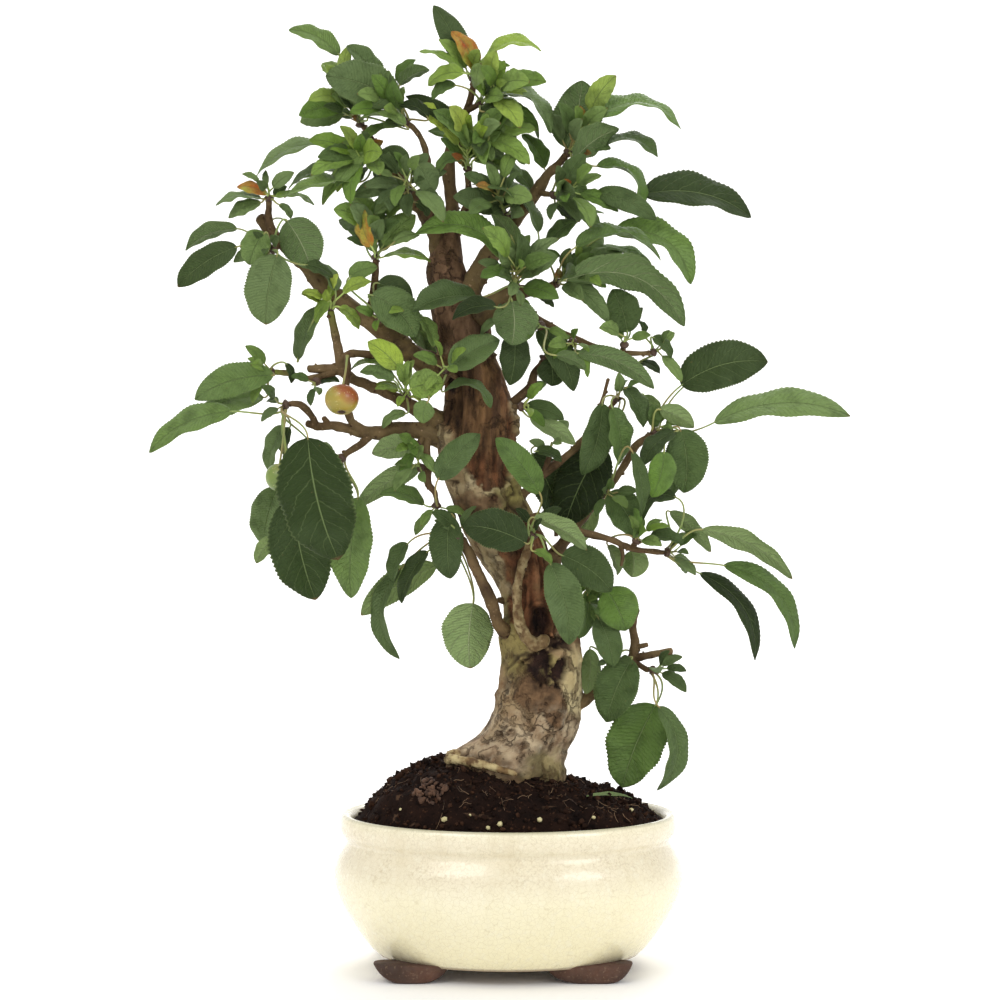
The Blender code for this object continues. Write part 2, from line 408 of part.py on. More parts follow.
def drop_inner_shells(target):
    """Removes shells that face inwards, so that what they enclose is solid."""
    work = bmesh.new()
    work.from_mesh(target.data)
    waiting = set(work.faces)
    kept = 0
    while waiting:
        shell = [waiting.pop()]
        for face in shell:
            for edge in face.edges:
                for other in edge.link_faces:
                    if other in waiting:
                        waiting.remove(other)
                        shell.append(other)
        middle = shell[0].verts[0].co
        volume = sum((f.verts[0].co - middle).dot((f.verts[1].co - middle).cross(f.verts[2].co - middle))
                     for f in shell)
        if volume < 1e-13:
            bmesh.ops.delete(work, geom=shell, context="FACES")
        else:
            kept += 1
    work.to_mesh(target.data)
    work.free()
    return kept


def finish(target, name, material):
    target.name = name
    target.data.name = name
    target.data.materials.clear()
    target.data.materials.append(material)
    for owner in list(target.users_collection):
        owner.objects.unlink(target)
    collection(name).objects.link(target)
    work = bmesh.new()
    work.from_mesh(target.data)
    volume = work.calc_volume(signed=True) * 1e9
    work.free()
    print(f"{name}: {len(target.data.polygons)} faces, {open_edges(target)} open edges, {volume:.0f} mm3")


def tube(name, rows, sides, group="cutters"):
    """A tapered tube along rows of (across, up, depth, radius), as a bevelled curve with caps."""
    curve = bpy.data.curves.new(name, "CURVE")
    curve.dimensions = "3D"
    curve.bevel_depth = MM
    curve.bevel_resolution = max((sides - 4) // 2, 0)
    curve.use_fill_caps = True
    curve.resolution_u = 1
    line = curve.splines.new("POLY")
    line.points.add(len(rows) - 1)
    for point, row in zip(line.points, rows):
        point.co = (*seen(*row[:3]), 1.0)
        point.radius = row[3]
    holder = bpy.data.objects.new(name, curve)
    collection(group).objects.link(holder)
    graph = bpy.context.evaluated_depsgraph_get()
    graph.update()
    mesh = bpy.data.meshes.new_from_object(holder.evaluated_get(graph))
    bpy.data.objects.remove(holder)
    made = bpy.data.objects.new(name, mesh)
    collection(group).objects.link(made)
    tidy(made)
    return made


def ring_loft(name, rings, group):
    """A solid through rings of points, each ring with as many points, closed at both ends."""
    count = len(rings[0])
    vertices = [v for ring in rings for v in ring]
    faces = []
    for row in range(len(rings) - 1):
        for k in range(count):
            a = row * count + k
            b = row * count + (k + 1) % count
            faces.append((a, b, b + count, a + count))
    faces.append(tuple(range(count))[::-1])
    faces.append(tuple(range((len(rings) - 1) * count, len(rings) * count)))
    made = mesh_object(name, vertices, faces, group)
    tidy(made)
    return made


def trunk_bumps(height, angle):
    """Knobs, flutes and hollows of the trunk, as a change of its radius in millimetres."""
    flutes = 0.9 * math.sin(3 * angle + height / 17) + 0.6 * math.sin(5 * angle - height / 11)
    hollow = -4.0 * math.exp(-((height - 178) / 16) ** 2 - ((angle + 1.1) / 0.5) ** 2)
    scar = -3.0 * math.exp(-((height - 275) / 22) ** 2 - ((angle + 1.6) / 0.7) ** 2)
    callus = 2.2 * math.exp(-((height - 139) / 9) ** 2 - ((angle + 1.3) / 0.6) ** 2)
    flare = 2.5 * math.exp(-((height - 104) / 10) ** 2 - ((angle + 2.9) / 0.5) ** 2)
    return flutes + hollow + scar + callus + flare


def trunk_rings(extra):
    rings = []
    for height, middle, half_x, half_y, middle_y in TRUNK_RINGS:
        ring = []
        for k in range(TRUNK_SIDES):
            angle = 2 * math.pi * (k + 0.5) / TRUNK_SIDES - math.pi
            bump = trunk_bumps(height, angle) if 100 < height < 340 else 0.0
            x = middle + (half_x + bump + extra) * math.cos(angle)
            y = middle_y + (half_y + bump + extra) * math.sin(angle)
            ring.append(Vector((x, y, height)) * MM)
        rings.append(ring)
    return rings


def make_pot(material):
    profile = bpy.data.meshes.new("pot_profile")
    vertices = [(r * MM, 0.0, z * MM) for r, z in POT_PROFILE]
    profile.from_pydata(vertices, [(i, i + 1) for i in range(len(vertices) - 1)], [])
    pot = bpy.data.objects.new("pot_body", profile)
    collection("pot").objects.link(pot)
    turn = pot.modifiers.new("turn", "SCREW")
    turn.axis = "Z"
    turn.steps = POT_SIDES
    turn.render_steps = POT_SIDES
    turn.use_merge_vertices = True
    turn.merge_threshold = 0.00005
    apply_modifiers(pot)
    pot.data.transform(Matrix.Translation((POT_CENTRE_X * MM, 0, 0))
                       @ Matrix.Diagonal((1, POT_DEPTH_RATIO, 1, 1)))
    tidy(pot)
    feet = []
    for side, inner, outer in ((-1, -52.0, -35.0), (1, 34.0, 57.0)):
        for front in (-1, 1):
            top = [(inner - 8 if side < 0 else inner - 12, 28), (outer + 11 if side < 0 else outer + 8, 28)]
            rings = []
            for z, x0, x1, y0, y1 in ((0.0, inner + 1, outer - 1, 33.5, 44.5), (1.2, inner, outer, 32.5, 45.5),
                                      (4.5, inner - 2.5, outer + 2.5, 31.0, 47.0),
                                      (FOOT_HEIGHT + 0.8, top[0][0], top[1][0], 29.0, 47.6)):
                corners = [(x0 + 2, y0), (x1 - 2, y0), (x1, y0 + 2), (x1, y1 - 3), (x1 - 4, y1), (x0 + 4, y1),
                           (x0, y1 - 3), (x0, y0 + 2)]
                ring = [Vector((x, front * y, z)) * MM for x, y in corners]
                rings.append(ring if front > 0 else ring[::-1])
            feet.append(ring_loft("foot", rings, "cutters"))
    combine(pot, feet, "UNION")
    drills = []
    for side in (-1, 1):
        bpy.ops.mesh.primitive_cylinder_add(
            vertices=16, radius=DRAIN_RADIUS * MM, depth=30 * MM,
            location=((POT_CENTRE_X + side * DRAIN_OFFSET) * MM, 0, 11 * MM))
        drills.append(bpy.context.object)
    combine(pot, drills, "DIFFERENCE")
    finish(pot, "pot", material)
    return pot


def skyline(across):
    for (x0, z0), (x1, z1) in zip(SOIL_SKYLINE, SOIL_SKYLINE[1:]):
        if x0 <= across <= x1:
            return z0 + (z1 - z0) * (across - x0) / (x1 - x0)
    return SOIL_EDGE_Z


def soil_height(x, y):
    """Height of the soil at a place, in millimetres: the skyline, falling to the rim."""
    reach = min(math.hypot((x - POT_CENTRE_X) / 78.0, y / (78.0 * POT_DEPTH_RATIO)), 1.0)
    across = min(abs(y) / 62.0, 1.0)
    crumble = 0.7 * math.sin(x / 4.3 + y / 7.0) * math.sin(y / 5.1 - x / 9.0)
    mound = (skyline(x) - SOIL_EDGE_Z) * (1 - across ** 3.2) * min((1 - reach) * 9, 1.0)
    return SOIL_EDGE_Z + max(mound, 0) + (crumble if reach < 0.95 else 0)


def make_soil(material):
    sides = 32
    wall = [(57.4, POT_FLOOR_Z + SOIL_GAP), (65.0, 17.4), (78.3, 34.2), (80.9, 49.0), (75.6, 64.0),
            (77.4, SOIL_EDGE_Z)]
    rings = []
    for radius, z in wall:
        rings.append([(radius, z)] * sides)
    vertices = []
    for ring in rings:
        for k, (radius, z) in enumerate(ring):
            angle = 2 * math.pi * k / sides
            vertices.append(Vector((POT_CENTRE_X + radius * math.cos(angle),
                                    radius * POT_DEPTH_RATIO * math.sin(angle), z)) * MM)
    steps = (0.9, 0.72, 0.5, 0.3)
    for share in steps:
        for k in range(sides):
            angle = 2 * math.pi * k / sides
            x = POT_CENTRE_X + share * wall[-1][0] * math.cos(angle)
            y = share * wall[-1][0] * POT_DEPTH_RATIO * math.sin(angle)
            vertices.append(Vector((x, y, soil_height(x, y))) * MM)
    levels = len(rings) + len(steps)
    faces = []
    for row in range(levels - 1):
        for k in range(sides):
            a = row * sides + k
            b = row * sides + (k + 1) % sides
            faces.append((a, b, b + sides, a + sides))
    faces.append(tuple(range(sides))[::-1])
    faces.append(tuple(range((levels - 1) * sides, levels * sides)))
    soil = mesh_object("soil_body", vertices, faces, "soil")
    tidy(soil)
    rings = trunk_rings(0.5)[:7]
    rings[0] = [v - Vector((0, 0, 0.4 * MM)) for v in rings[0]]
    combine(soil, [ring_loft("foot_hole", rings, "cutters")], "DIFFERENCE")
    finish(soil, "soil", material)
    return soil


def make_wood(material):
    wood = ring_loft("trunk", trunk_rings(0.0), "trunk_and_branches")
    parts = []
    ends = {root: start for name, tone, root, start, leaves in SPRAYS}
    tips = set()
    for name, rows in BRANCHES.items():
        sides = BRANCH_SIDES if rows[0][3] > 3.1 else FINE_SIDES
        tip = tuple(rows[-1][:3])
        if tip in ends:
            tips.add(tip)
            rows = rows + [(*ends[tip], rows[-1][3])]
        parts.append(tube(name, rows, sides))
    for name, tone, root, start, leaves in SPRAYS:
        if root in tips:
            continue
        first = seen(*root)
        last = seen(*start)
        away = (last - first).normalized()
        back = unseen(first - away * 0.6 * MM)
        parts.append(tube(name, [(*back, SPUR_RADIUS), (*start, SPUR_RADIUS)], FINE_SIDES))
    for target in parts:
        if open_edges(target):
            print("open part", target.name, open_edges(target))
    combine(wood, parts, "UNION")
    finish(wood, "trunk_and_branches", material)
    return wood


def leaf_row(row, shift, shrink=1.0, turn=None):
    """The world base and tip, the true width, the roll and the arch of one leaf of the table."""
    base_x, base_up, tip_x, tip_up, width, kind, arch, tone, depth = row
    swing = 0.16 * math.hypot(tip_x - base_x, tip_up - base_up)
    lean = swing * math.sin(base_x * 1.7 + tip_up * 0.9)
    mid_x = (base_x + tip_x) / 2
    mid_up = (base_up + tip_up) / 2
    ends = []
    for x, up, side in ((base_x, base_up, -0.5), (tip_x, tip_up, 0.5)):
        ends.append(seen(mid_x + (x - mid_x) * shrink, mid_up + (up - mid_up) * shrink,
                         depth + shift + side * lean))
    roll = math.radians(KINDS[kind] if turn is None else turn)
    length = (ends[1] - ends[0]).length / MM
    true_width = min(width * shrink / max(abs(math.cos(roll)), 0.24), max(0.6 * length, width * shrink))
    return ends[0], ends[1], true_width, roll, arch * shrink


def leaf_frame(base, tip, roll):
    """Axis, side and face directions of a blade: roll turns its face from the viewer upwards."""
    axis = (tip - base).normalized()
    middle = (base + tip) / 2
    view = (Vector((0, -EYE_DISTANCE, EYE_HEIGHT)) * MM - middle).normalized()
    facing = (view - axis * view.dot(axis)).normalized()
    upward = axis.cross(facing)
    outward = 0.3 if middle.x > POT_CENTRE_X * MM else -0.3
    if upward.dot(Vector((outward, 0, 1))) < 0:
        upward = -upward
    normal = math.cos(roll) * facing + math.sin(roll) * upward
    return axis, upward, normal


def half_width(share):
    """Outline of a crabapple leaf: half width over the whole, for a share of its length."""
    return 0.5 * share ** 0.52 * (1 - share) ** 0.78 / 0.4261


def blade_line(base, tip, roll, arch, share):
    """Point, direction along, side and face of the midrib at a share of the blade's length."""
    axis, upward, normal = leaf_frame(base, tip, roll)
    length = (tip - base).length
    bow = 0.05 * length
    hump = 4 * share * (1 - share)
    slope = 4 * (1 - 2 * share) / length
    point = base.lerp(tip, share) + upward * arch * MM * hump + normal * bow * hump
    along = (axis + upward * arch * MM * slope + normal * bow * slope).normalized()
    face = (normal - along * normal.dot(along)).normalized()
    return point, along, along.cross(face), face


def bezier(points, t):
    a, b, c, d = points
    return a * (1 - t) ** 3 + b * 3 * t * (1 - t) ** 2 + c * 3 * t ** 2 * (1 - t) + d * t ** 3


def leaf_solid(core, away, slot, base, tip, width, roll, arch, thickness, extra=0.0):
    """Vertices and faces of one leaf with its petiole, one closed shell from the shoot to the tip."""
    if width >= 22:
        shares = [0.07, 0.22, 0.42, 0.63, 0.83]
    elif width >= 11.5:
        shares = [0.12, 0.4, 0.74]
    else:
        shares = [0.24, 0.64]
    start, along, side, face = blade_line(base, tip, roll, arch, 0.0)
    outward = (base - core) - away * (base - core).dot(away)
    outward.normalize()
    core = core + outward * 1.3 * MM + away * slot * MM
    reach = (base - core).length
    leave = (away + outward).normalized()
    guide = [core, core + leave * min(0.34 * reach, 9 * MM), base - along * 0.34 * reach, base]
    steps = 3 if reach > 40 * MM else 2 if reach > 13 * MM else 1
    half = (PETIOLE_WIDTH / 2 + extra) * MM
    flat = (thickness / 2 + extra) * MM
    rings = []
    facing = face
    for k in range(steps, -1, -1):
        t = k / steps
        place = bezier(guide, t)
        ahead = (bezier(guide, min(t + 0.05, 1)) - bezier(guide, max(t - 0.05, 0))).normalized()
        if k == steps:
            ahead = along
        facing = (facing - ahead * facing.dot(ahead)).normalized()
        across = ahead.cross(facing)
        rings.append([place - across * half + facing * flat, place + across * half + facing * flat,
                      place + across * half - facing * flat, place - across * half - facing * flat])
    rings.reverse()
    vertices = [v for ring in rings for v in ring]
    faces = [(0, 1, 2), (0, 2, 3)]
    for row in range(steps):
        for k in range(4):
            a = row * 4 + k
            b = row * 4 + (k + 1) % 4
            faces += [(a, b, b + 4), (a, b + 4, a + 4)]
    left_top, right_top, right_low, left_low = range(steps * 4, steps * 4 + 4)
    last = None
    for share in shares:
        point, along, side, face = blade_line(base, tip, roll, arch, share)
        reach_side = max(half_width(share) * width * 1.03, 0.6) * MM + extra * MM
        rise = face * FOLD * reach_side
        first = len(vertices)
        for level in (flat, -flat):
            vertices += [point - side * reach_side + rise + face * level, point + face * level,
                         point + side * reach_side + rise + face * level]
        if last is None:
            faces += [(left_top, right_top, first + 1), (left_top, first + 1, first),
                      (right_top, first + 2, first + 1)]
            faces += [(left_low, first + 4, right_low), (left_low, first + 3, first + 4),
                      (right_low, first + 4, first + 5)]
            faces += [(left_low, left_top, first), (left_low, first, first + 3),
                      (right_top, right_low, first + 5), (right_top, first + 5, first + 2)]
        else:
            for k in (0, 1):
                a, b, c, d = last + k, last + k + 1, first + k, first + k + 1
                if k == 0:
                    faces += [(a, b, d), (a, d, c), (a + 3, d + 3, b + 3), (a + 3, c + 3, d + 3)]
                else:
                    faces += [(a, b, c), (b, d, c), (a + 3, c + 3, b + 3), (b + 3, c + 3, d + 3)]
            faces += [(last + 3, last, first), (last + 3, first, first + 3),
                      (last + 2, last + 5, first + 5), (last + 2, first + 5, first + 2)]
        last = first
    point, along, side, face = blade_line(base, tip, roll, arch, 1.0)
    top = len(vertices)
    vertices += [point + face * flat, point - face * flat]
    faces += [(last, last + 1, top), (last + 1, last + 2, top), (last + 3, top + 1, last + 4),
              (last + 4, top + 1, last + 5), (last + 3, last, top), (last + 3, top, top + 1),
              (last + 2, last + 5, top + 1), (last + 2, top + 1, top)]
    return vertices, faces, (steps + 1) * 4


def shell_tree(vertices, faces):
    return BVHTree.FromPolygons([tuple(v) for v in vertices], faces)


def make_sprays(solids, materials):
    """Places every leaf clear of the wood, soil and pot and of other sprays, then fuses each spray."""
    fixed = []
    for solid in solids:
        mesh = solid.data
        fixed.append(shell_tree([v.co for v in mesh.vertices], [tuple(p.vertices) for p in mesh.polygons]))
    cores = {}
    for name, tone, root, start, leaves in SPRAYS:
        away = (seen(*start) - seen(*root)).normalized()
        near = seen(*start) + away * BUTT_GAP * MM
        far = near + away * 3.2 * MM
        core = tube(name, [(*unseen(near), SPUR_RADIUS), (*unseen(near + away * 1.6 * MM), 2.5),
                           (*unseen(far), 1.4)], FINE_SIDES, name)
        cores[name] = (core, near + away * 1.7 * MM, away)
    core_trees = {}
    for name, (core, middle, away) in cores.items():
        mesh = core.data
        core_trees[name] = shell_tree([v.co for v in mesh.vertices], [tuple(p.vertices) for p in mesh.polygons])
    placed = []
    members = {name: [] for name in cores}
    jobs = []
    for name, tone, root, start, leaves in SPRAYS:
        for row in leaves:
            jobs.append((name, row, SHIFTS, 1.0, None))
    for name, tone, root, start, leaves in SPRAYS:
        for row in leaves:
            if row[4] >= BACK_FROM_WIDTH:
                jobs.append((name, row, BACK_SHIFTS, 0.86, 180.0 - KINDS[row[5]] if row[5] in "fo" else 30.0))
    lost = 0
    for name, row, shifts, shrink, turn in jobs:
        core, middle, away = cores[name]
        done = False
        for strict in (True, False):
            for shift in shifts:
                base, tip, width, roll, arch = leaf_row(row, shift, shrink, turn)
                if abs(base.y) > DEPTH_LIMIT * MM or abs(tip.y) > DEPTH_LIMIT * MM:
                    continue
                slot = -1.0 + 0.7 * (len(members[name]) % 4)
                shape = (middle, away, slot, base, tip, width, roll, arch)
                fat, fat_faces, first_blade = leaf_solid(*shape, BLADE_THICKNESS, 0.3)
                whole = shell_tree(fat, fat_faces)
                if any(whole.overlap(tree) for tree in fixed):
                    continue
                if any(whole.overlap(tree) for other, tree in core_trees.items() if other != name):
                    continue
                crossing = False
                for other, tree, blade_tree in placed:
                    if other != name:
                        crossing = bool(whole.overlap(tree))
                    elif strict:
                        crossing = bool(whole.overlap(blade_tree))
                    if crossing:
                        break
                if crossing:
                    continue
                vertices, faces, first_blade = leaf_solid(*shape, BLADE_THICKNESS)
                blade_faces = [f for f in faces if min(f) >= first_blade - 4]
                placed.append((name, shell_tree(vertices, faces), shell_tree(vertices, blade_faces)))
                members[name].append(mesh_object("leaf", vertices, faces, "cutters"))
                done = True
                break
            if done:
                break
        if not done:
            lost += 1
            if shrink == 1.0:
                print("no clear place:", name, row)
    print("leaves placed", len(placed), "left out", lost)
    for name, tone, root, start, leaves in SPRAYS:
        core = cores[name][0]
        hidden = [m for other in members if other != name for m in members[other]]
        for item in hidden:
            for owner in list(item.users_collection):
                owner.objects.unlink(item)
        combine(core, members[name], "UNION")
        members[name] = []
        finish(core, name, materials[tone])


def make_fruits(materials):
    for index, (name, centre, radius, ratio, stalk_top) in enumerate(FRUITS):
        middle = seen(*centre)
        profile = bpy.data.meshes.new("fruit_profile")
        rows = []
        for k in range(9):
            angle = math.pi * k / 8
            dip = 0.30 * math.exp(-(angle / 0.36) ** 2) + 0.16 * math.exp(-((math.pi - angle) / 0.3) ** 2)
            rows.append((radius * math.sin(angle) * MM, 0.0, radius * ratio * (math.cos(angle) * (1 - dip)) * MM))
        rows[0] = (0.0, 0.0, rows[0][2])
        rows[-1] = (0.0, 0.0, rows[-1][2])
        profile.from_pydata(rows, [(i, i + 1) for i in range(len(rows) - 1)], [])
        fruit = bpy.data.objects.new(name, profile)
        collection(name).objects.link(fruit)
        turn = fruit.modifiers.new("turn", "SCREW")
        turn.axis = "Z"
        turn.steps = FRUIT_SIDES
        turn.render_steps = FRUIT_SIDES
        turn.use_merge_vertices = True
        turn.merge_threshold = 0.00005
        apply_modifiers(fruit)
        fruit.data.transform(Matrix.Translation(middle))
        tidy(fruit)
        top = seen(*stalk_top)
        low = middle + Vector((0, 0, radius * ratio * 0.55 * MM))
        mid = low.lerp(top, 0.5) + Vector((0.4 * MM, -0.6 * MM, 0))
        stalk = tube("stalk", [(*unseen(low), 0.65), (*unseen(mid), 0.6), (*unseen(top), 0.8)], FINE_SIDES)
        combine(fruit, [stalk], "UNION")
        finish(fruit, name, materials[index])


def main():
    for item in list(bpy.data.objects):
        bpy.data.objects.remove(item)
    pot = make_pot(principled("cream_glaze", "#E9E0B4", 0.25))
    soil = make_soil(principled("dark_soil", "#2A1D18", 0.95))
    wood = make_wood(principled("apple_bark", "#8A7860", 0.85))
    greens = [principled("leaf_dark", "#34521F", 0.5), principled("leaf_mid", "#5C7F3C", 0.5),
              principled("leaf_young", "#93BE55", 0.5)]
    make_fruits([principled("ripe_fruit_skin", "#C9A94A", 0.35),
                 principled("green_fruit_skin", "#A9BE66", 0.35)])
    make_sprays([wood, soil, pot, bpy.data.objects["crabapple_ripe"], bpy.data.objects["crabapple_green"]],
                greens)
    spare = bpy.data.collections.get("cutters")
    if spare is not None:
        bpy.data.collections.remove(spare)
    total = sum(len(item.data.polygons) for item in bpy.data.objects)
    low = [min((item.matrix_world @ v.co)[k] for item in bpy.data.objects for v in item.data.vertices)
           for k in range(3)]
    high = [max((item.matrix_world @ v.co)[k] for item in bpy.data.objects for v in item.data.vertices)
            for k in range(3)]
    print("triangles", total, "low", [round(v, 5) for v in low], "high", [round(v, 5) for v in high])


main()
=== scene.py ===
# %% [markdown]
# A crabapple bonsai in an oval glazed pot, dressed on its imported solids. The real tree is a thick
# hollowed trunk that was cut back hard and regrew thin shoots, so the work goes from the frame to
# the pot, the soil, the wood, the leaves and the fruit. Every surface is worked out from a formula
# with numpy, because a formula keeps the fine piece on the form of the plain solid under it.

# %% Frame
import math

import bpy
import numpy as np
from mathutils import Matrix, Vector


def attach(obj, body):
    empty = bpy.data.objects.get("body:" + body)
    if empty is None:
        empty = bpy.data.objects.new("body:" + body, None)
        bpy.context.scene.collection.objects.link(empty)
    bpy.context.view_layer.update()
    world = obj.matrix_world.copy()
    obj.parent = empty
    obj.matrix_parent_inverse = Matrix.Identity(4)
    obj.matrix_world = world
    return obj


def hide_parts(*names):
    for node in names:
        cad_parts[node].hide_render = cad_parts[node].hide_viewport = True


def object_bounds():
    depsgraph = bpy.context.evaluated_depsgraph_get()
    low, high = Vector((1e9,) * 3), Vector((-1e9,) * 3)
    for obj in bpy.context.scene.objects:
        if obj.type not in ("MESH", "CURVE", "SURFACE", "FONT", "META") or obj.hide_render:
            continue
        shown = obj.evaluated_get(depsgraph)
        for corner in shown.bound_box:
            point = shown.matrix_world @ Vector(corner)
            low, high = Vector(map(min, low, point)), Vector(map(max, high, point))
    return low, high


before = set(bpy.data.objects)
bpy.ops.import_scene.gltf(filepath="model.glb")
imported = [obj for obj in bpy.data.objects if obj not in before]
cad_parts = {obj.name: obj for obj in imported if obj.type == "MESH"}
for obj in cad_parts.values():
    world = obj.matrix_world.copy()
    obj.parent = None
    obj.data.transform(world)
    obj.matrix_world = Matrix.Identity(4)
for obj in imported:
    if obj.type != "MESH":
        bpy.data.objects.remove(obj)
start_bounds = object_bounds()
MM = 0.001
BOX_LOW, BOX_HIGH = [np.array([float(c) for c in corner]) / MM for corner in start_bounds]
print("bounds", start_bounds)

# %% [markdown]
# Places on the plant are read off a picture plane that stands in the plane y = 0: across to the
# right, up from the ground, and depth is the real y. The photo was taken from about 1.5 m in front
# and 0.3 m up, so a place is moved along its line of sight to its depth. The same table of places
# made the plain solids, which is why the fine leaves land on the plain ones.

# %% Picture plane
EYE_DISTANCE = 1500.0
EYE_HEIGHT = 300.0


def seen(across, up, depth):
    """World place in millimetres: the picture point scaled from the eye by its distance."""
    grow = (EYE_DISTANCE + depth) / EYE_DISTANCE
    return np.stack([across * grow, depth + 0.0 * grow, EYE_HEIGHT + (up - EYE_HEIGHT) * grow], -1)


print("a place 100 mm up, brought 66 mm forward, is at", seen(0.0, 100.0, -66.0).round(1))

# %% Directions, noise and curves
def unit(v):
    """The vector divided by its length."""
    return v / np.maximum(np.linalg.norm(v, axis=-1, keepdims=True), 1e-9)


def smooth(low, high, value):
    """Zero below low, one above high, and 3t2 - 2t3 between them."""
    t = np.clip((value - low) / (high - low), 0, 1)
    return t * t * (3 - 2 * t)


def circle(sides):
    """Even angles round a ring."""
    return np.linspace(0, 2 * np.pi, sides, endpoint=False)


def lattice(points, cell, seed=0.0):
    """Value noise from -1 to 1: a random value at each corner of a cubic lattice, blended smoothly."""
    p = np.asarray(points, float) / cell
    base = np.floor(p)
    f = p - base
    f = f * f * (3 - 2 * f)
    total = 0.0
    for dx in (0, 1):
        for dy in (0, 1):
            for dz in (0, 1):
                corner = base + (dx, dy, dz)
                h = np.sin(corner @ np.array([127.1, 311.7, 74.7]) + seed * 17.3) * 43758.5453
                weight = (np.where(dx, f[..., 0], 1 - f[..., 0]) * np.where(dy, f[..., 1], 1 - f[..., 1])
                          * np.where(dz, f[..., 2], 1 - f[..., 2]))
                total = total + weight * (h - np.floor(h))
    return 2 * total - 1


def cloud(points, cell, octaves=3, seed=0.0):
    """Noise of several sizes: each next layer is half as large and half as strong."""
    return sum(lattice(points, cell / 2 ** k, seed + k) / 2 ** k for k in range(octaves))


def spline(knots, steps):
    """A Catmull-Rom curve through the knots: a cubic between neighbours, with their slopes."""
    k = np.asarray(knots, float)
    k = np.vstack([2 * k[0] - k[1], k, 2 * k[-1] - k[-2]])
    t = np.linspace(0, len(k) - 3, steps)
    i = np.minimum(t.astype(int), len(k) - 4)
    f = (t - i)[:, None]
    a, b, c, d = k[i], k[i + 1], k[i + 2], k[i + 3]
    return 0.5 * (2 * b + (c - a) * f + (2 * a - 5 * b + 4 * c - d) * f ** 2
                  + (3 * b - a - 3 * c + d) * f ** 3)


print("noise at one place", cloud([1.0, 2.0, 3.0], 5.0).round(3))

# %% Meshes from arrays
def grid_faces(rows, columns, wrap=False):
    """Four-cornered faces of a sheet of rows by columns of vertices, closed round if wrap is set."""
    r = np.arange(rows - 1)[:, None]
    c = np.arange(columns if wrap else columns - 1)[None, :]
    n = (c + 1) % columns
    a, b = r * columns + c, r * columns + n
    return np.stack([a, b, b + columns, a + columns], -1).reshape(-1, 4)


def tube_faces(rings, sides):
    """Faces of a tube of rings: its wall, and a many-sided cap at each end."""
    cap = np.arange(sides)[None]
    return [grid_faces(rings, sides, True), cap[:, ::-1], cap + (rings - 1) * sides]


def make_piece(name, vertices_mm, faces, materials, index=None, replaces=None, floats=None, uv=None):
    """One shown mesh from arrays, kept inside the plain model's box; floats are point attributes."""
    vertices_mm = np.clip(vertices_mm, BOX_LOW, BOX_HIGH)
    mesh = bpy.data.meshes.new(name)
    loops = np.concatenate([f.ravel() for f in faces]).astype(np.int32)
    sizes = np.concatenate([np.full(len(f), f.shape[1]) for f in faces]).astype(np.int32)
    mesh.vertices.add(len(vertices_mm))
    mesh.vertices.foreach_set("co", (vertices_mm * MM).astype(np.float32).ravel())
    mesh.loops.add(len(loops))
    mesh.loops.foreach_set("vertex_index", loops)
    mesh.polygons.add(len(sizes))
    starts = np.concatenate([[0], np.cumsum(sizes)[:-1]]).astype(np.int32)
    mesh.polygons.foreach_set("loop_start", starts)
    mesh.polygons.foreach_set("loop_total", sizes)
    mesh.polygons.foreach_set("use_smooth", np.ones(len(sizes), bool))
    for material in materials:
        mesh.materials.append(material)
    if index is not None:
        mesh.polygons.foreach_set("material_index", np.asarray(index, np.int32))
    for key, values in (floats or {}).items():
        layer = mesh.attributes.new(key, "FLOAT", "POINT")
        layer.data.foreach_set("value", np.asarray(values, np.float32).ravel())
    if uv is not None:
        layer = mesh.uv_layers.new(name="blade")
        layer.data.foreach_set("uv", np.asarray(uv, np.float32)[loops].ravel())
    mesh.update(calc_edges=True)
    mesh.validate()
    piece = bpy.data.objects.new(name, mesh)
    bpy.context.scene.collection.objects.link(piece)
    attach(piece, "root")
    if replaces:
        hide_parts(*replaces)
    print(name, int((sizes - 2).sum()), "triangles")
    return piece


class Heap:
    """Blocks of vertices gathered for one piece, with each face's material number and point values."""

    def __init__(self, *keys):
        """Starts an empty heap whose points carry a value for each of the keys."""
        self.vertices, self.faces, self.kinds, self.uvs = [], [], [], []
        self.values = {key: [] for key in keys}
        self.first = 0
        self.has_uv = False

    def put(self, block, sheets, kind=0, uv=None, **values):
        """Adds a block and its faces; a point value that isn't named is zero."""
        block = block.reshape(-1, 3)
        self.vertices.append(block)
        for sheet in sheets:
            self.faces.append(sheet + self.first)
            self.kinds.append(np.full(len(sheet), kind))
        self.has_uv = self.has_uv or uv is not None
        self.uvs.append(np.zeros((len(block), 2)) if uv is None else uv)
        for key, kept in self.values.items():
            kept.append(np.broadcast_to(np.asarray(values.get(key, 0.0), float), (len(block),)))
        self.first += len(block)

    def piece(self, name, materials, slot, replaces):
        """The gathered blocks as one shown mesh."""
        return make_piece(name, np.concatenate(self.vertices), self.faces, materials,
                          index=np.concatenate(self.kinds), replaces=replaces,
                          floats={key: np.concatenate(kept) for key, kept in self.values.items()},
                          uv=np.concatenate(self.uvs) if self.has_uv else None)

# %% [markdown]
# Each material is named for what it is, and its colours are written as they look on a screen and
# turned linear once. The patterns run in the object's own coordinates, in real millimetres.

# %% Material tools
def colour(code):
    """A screen colour such as #8A7860, turned linear by the usual curve."""
    values = [int(code[i:i + 2], 16) / 255 for i in (1, 3, 5)]
    return (*[v / 12.92 if v <= 0.04045 else ((v + 0.055) / 1.055) ** 2.4 for v in values], 1.0)


def new_material(name, roughness=0.6):
    """An empty material with a Principled shader, and its node tree and shader."""
    material = bpy.data.materials.new(name)
    material.use_nodes = True
    tree = material.node_tree
    shader = tree.nodes["Principled BSDF"]
    shader.inputs["Roughness"].default_value = roughness
    return material, tree, shader


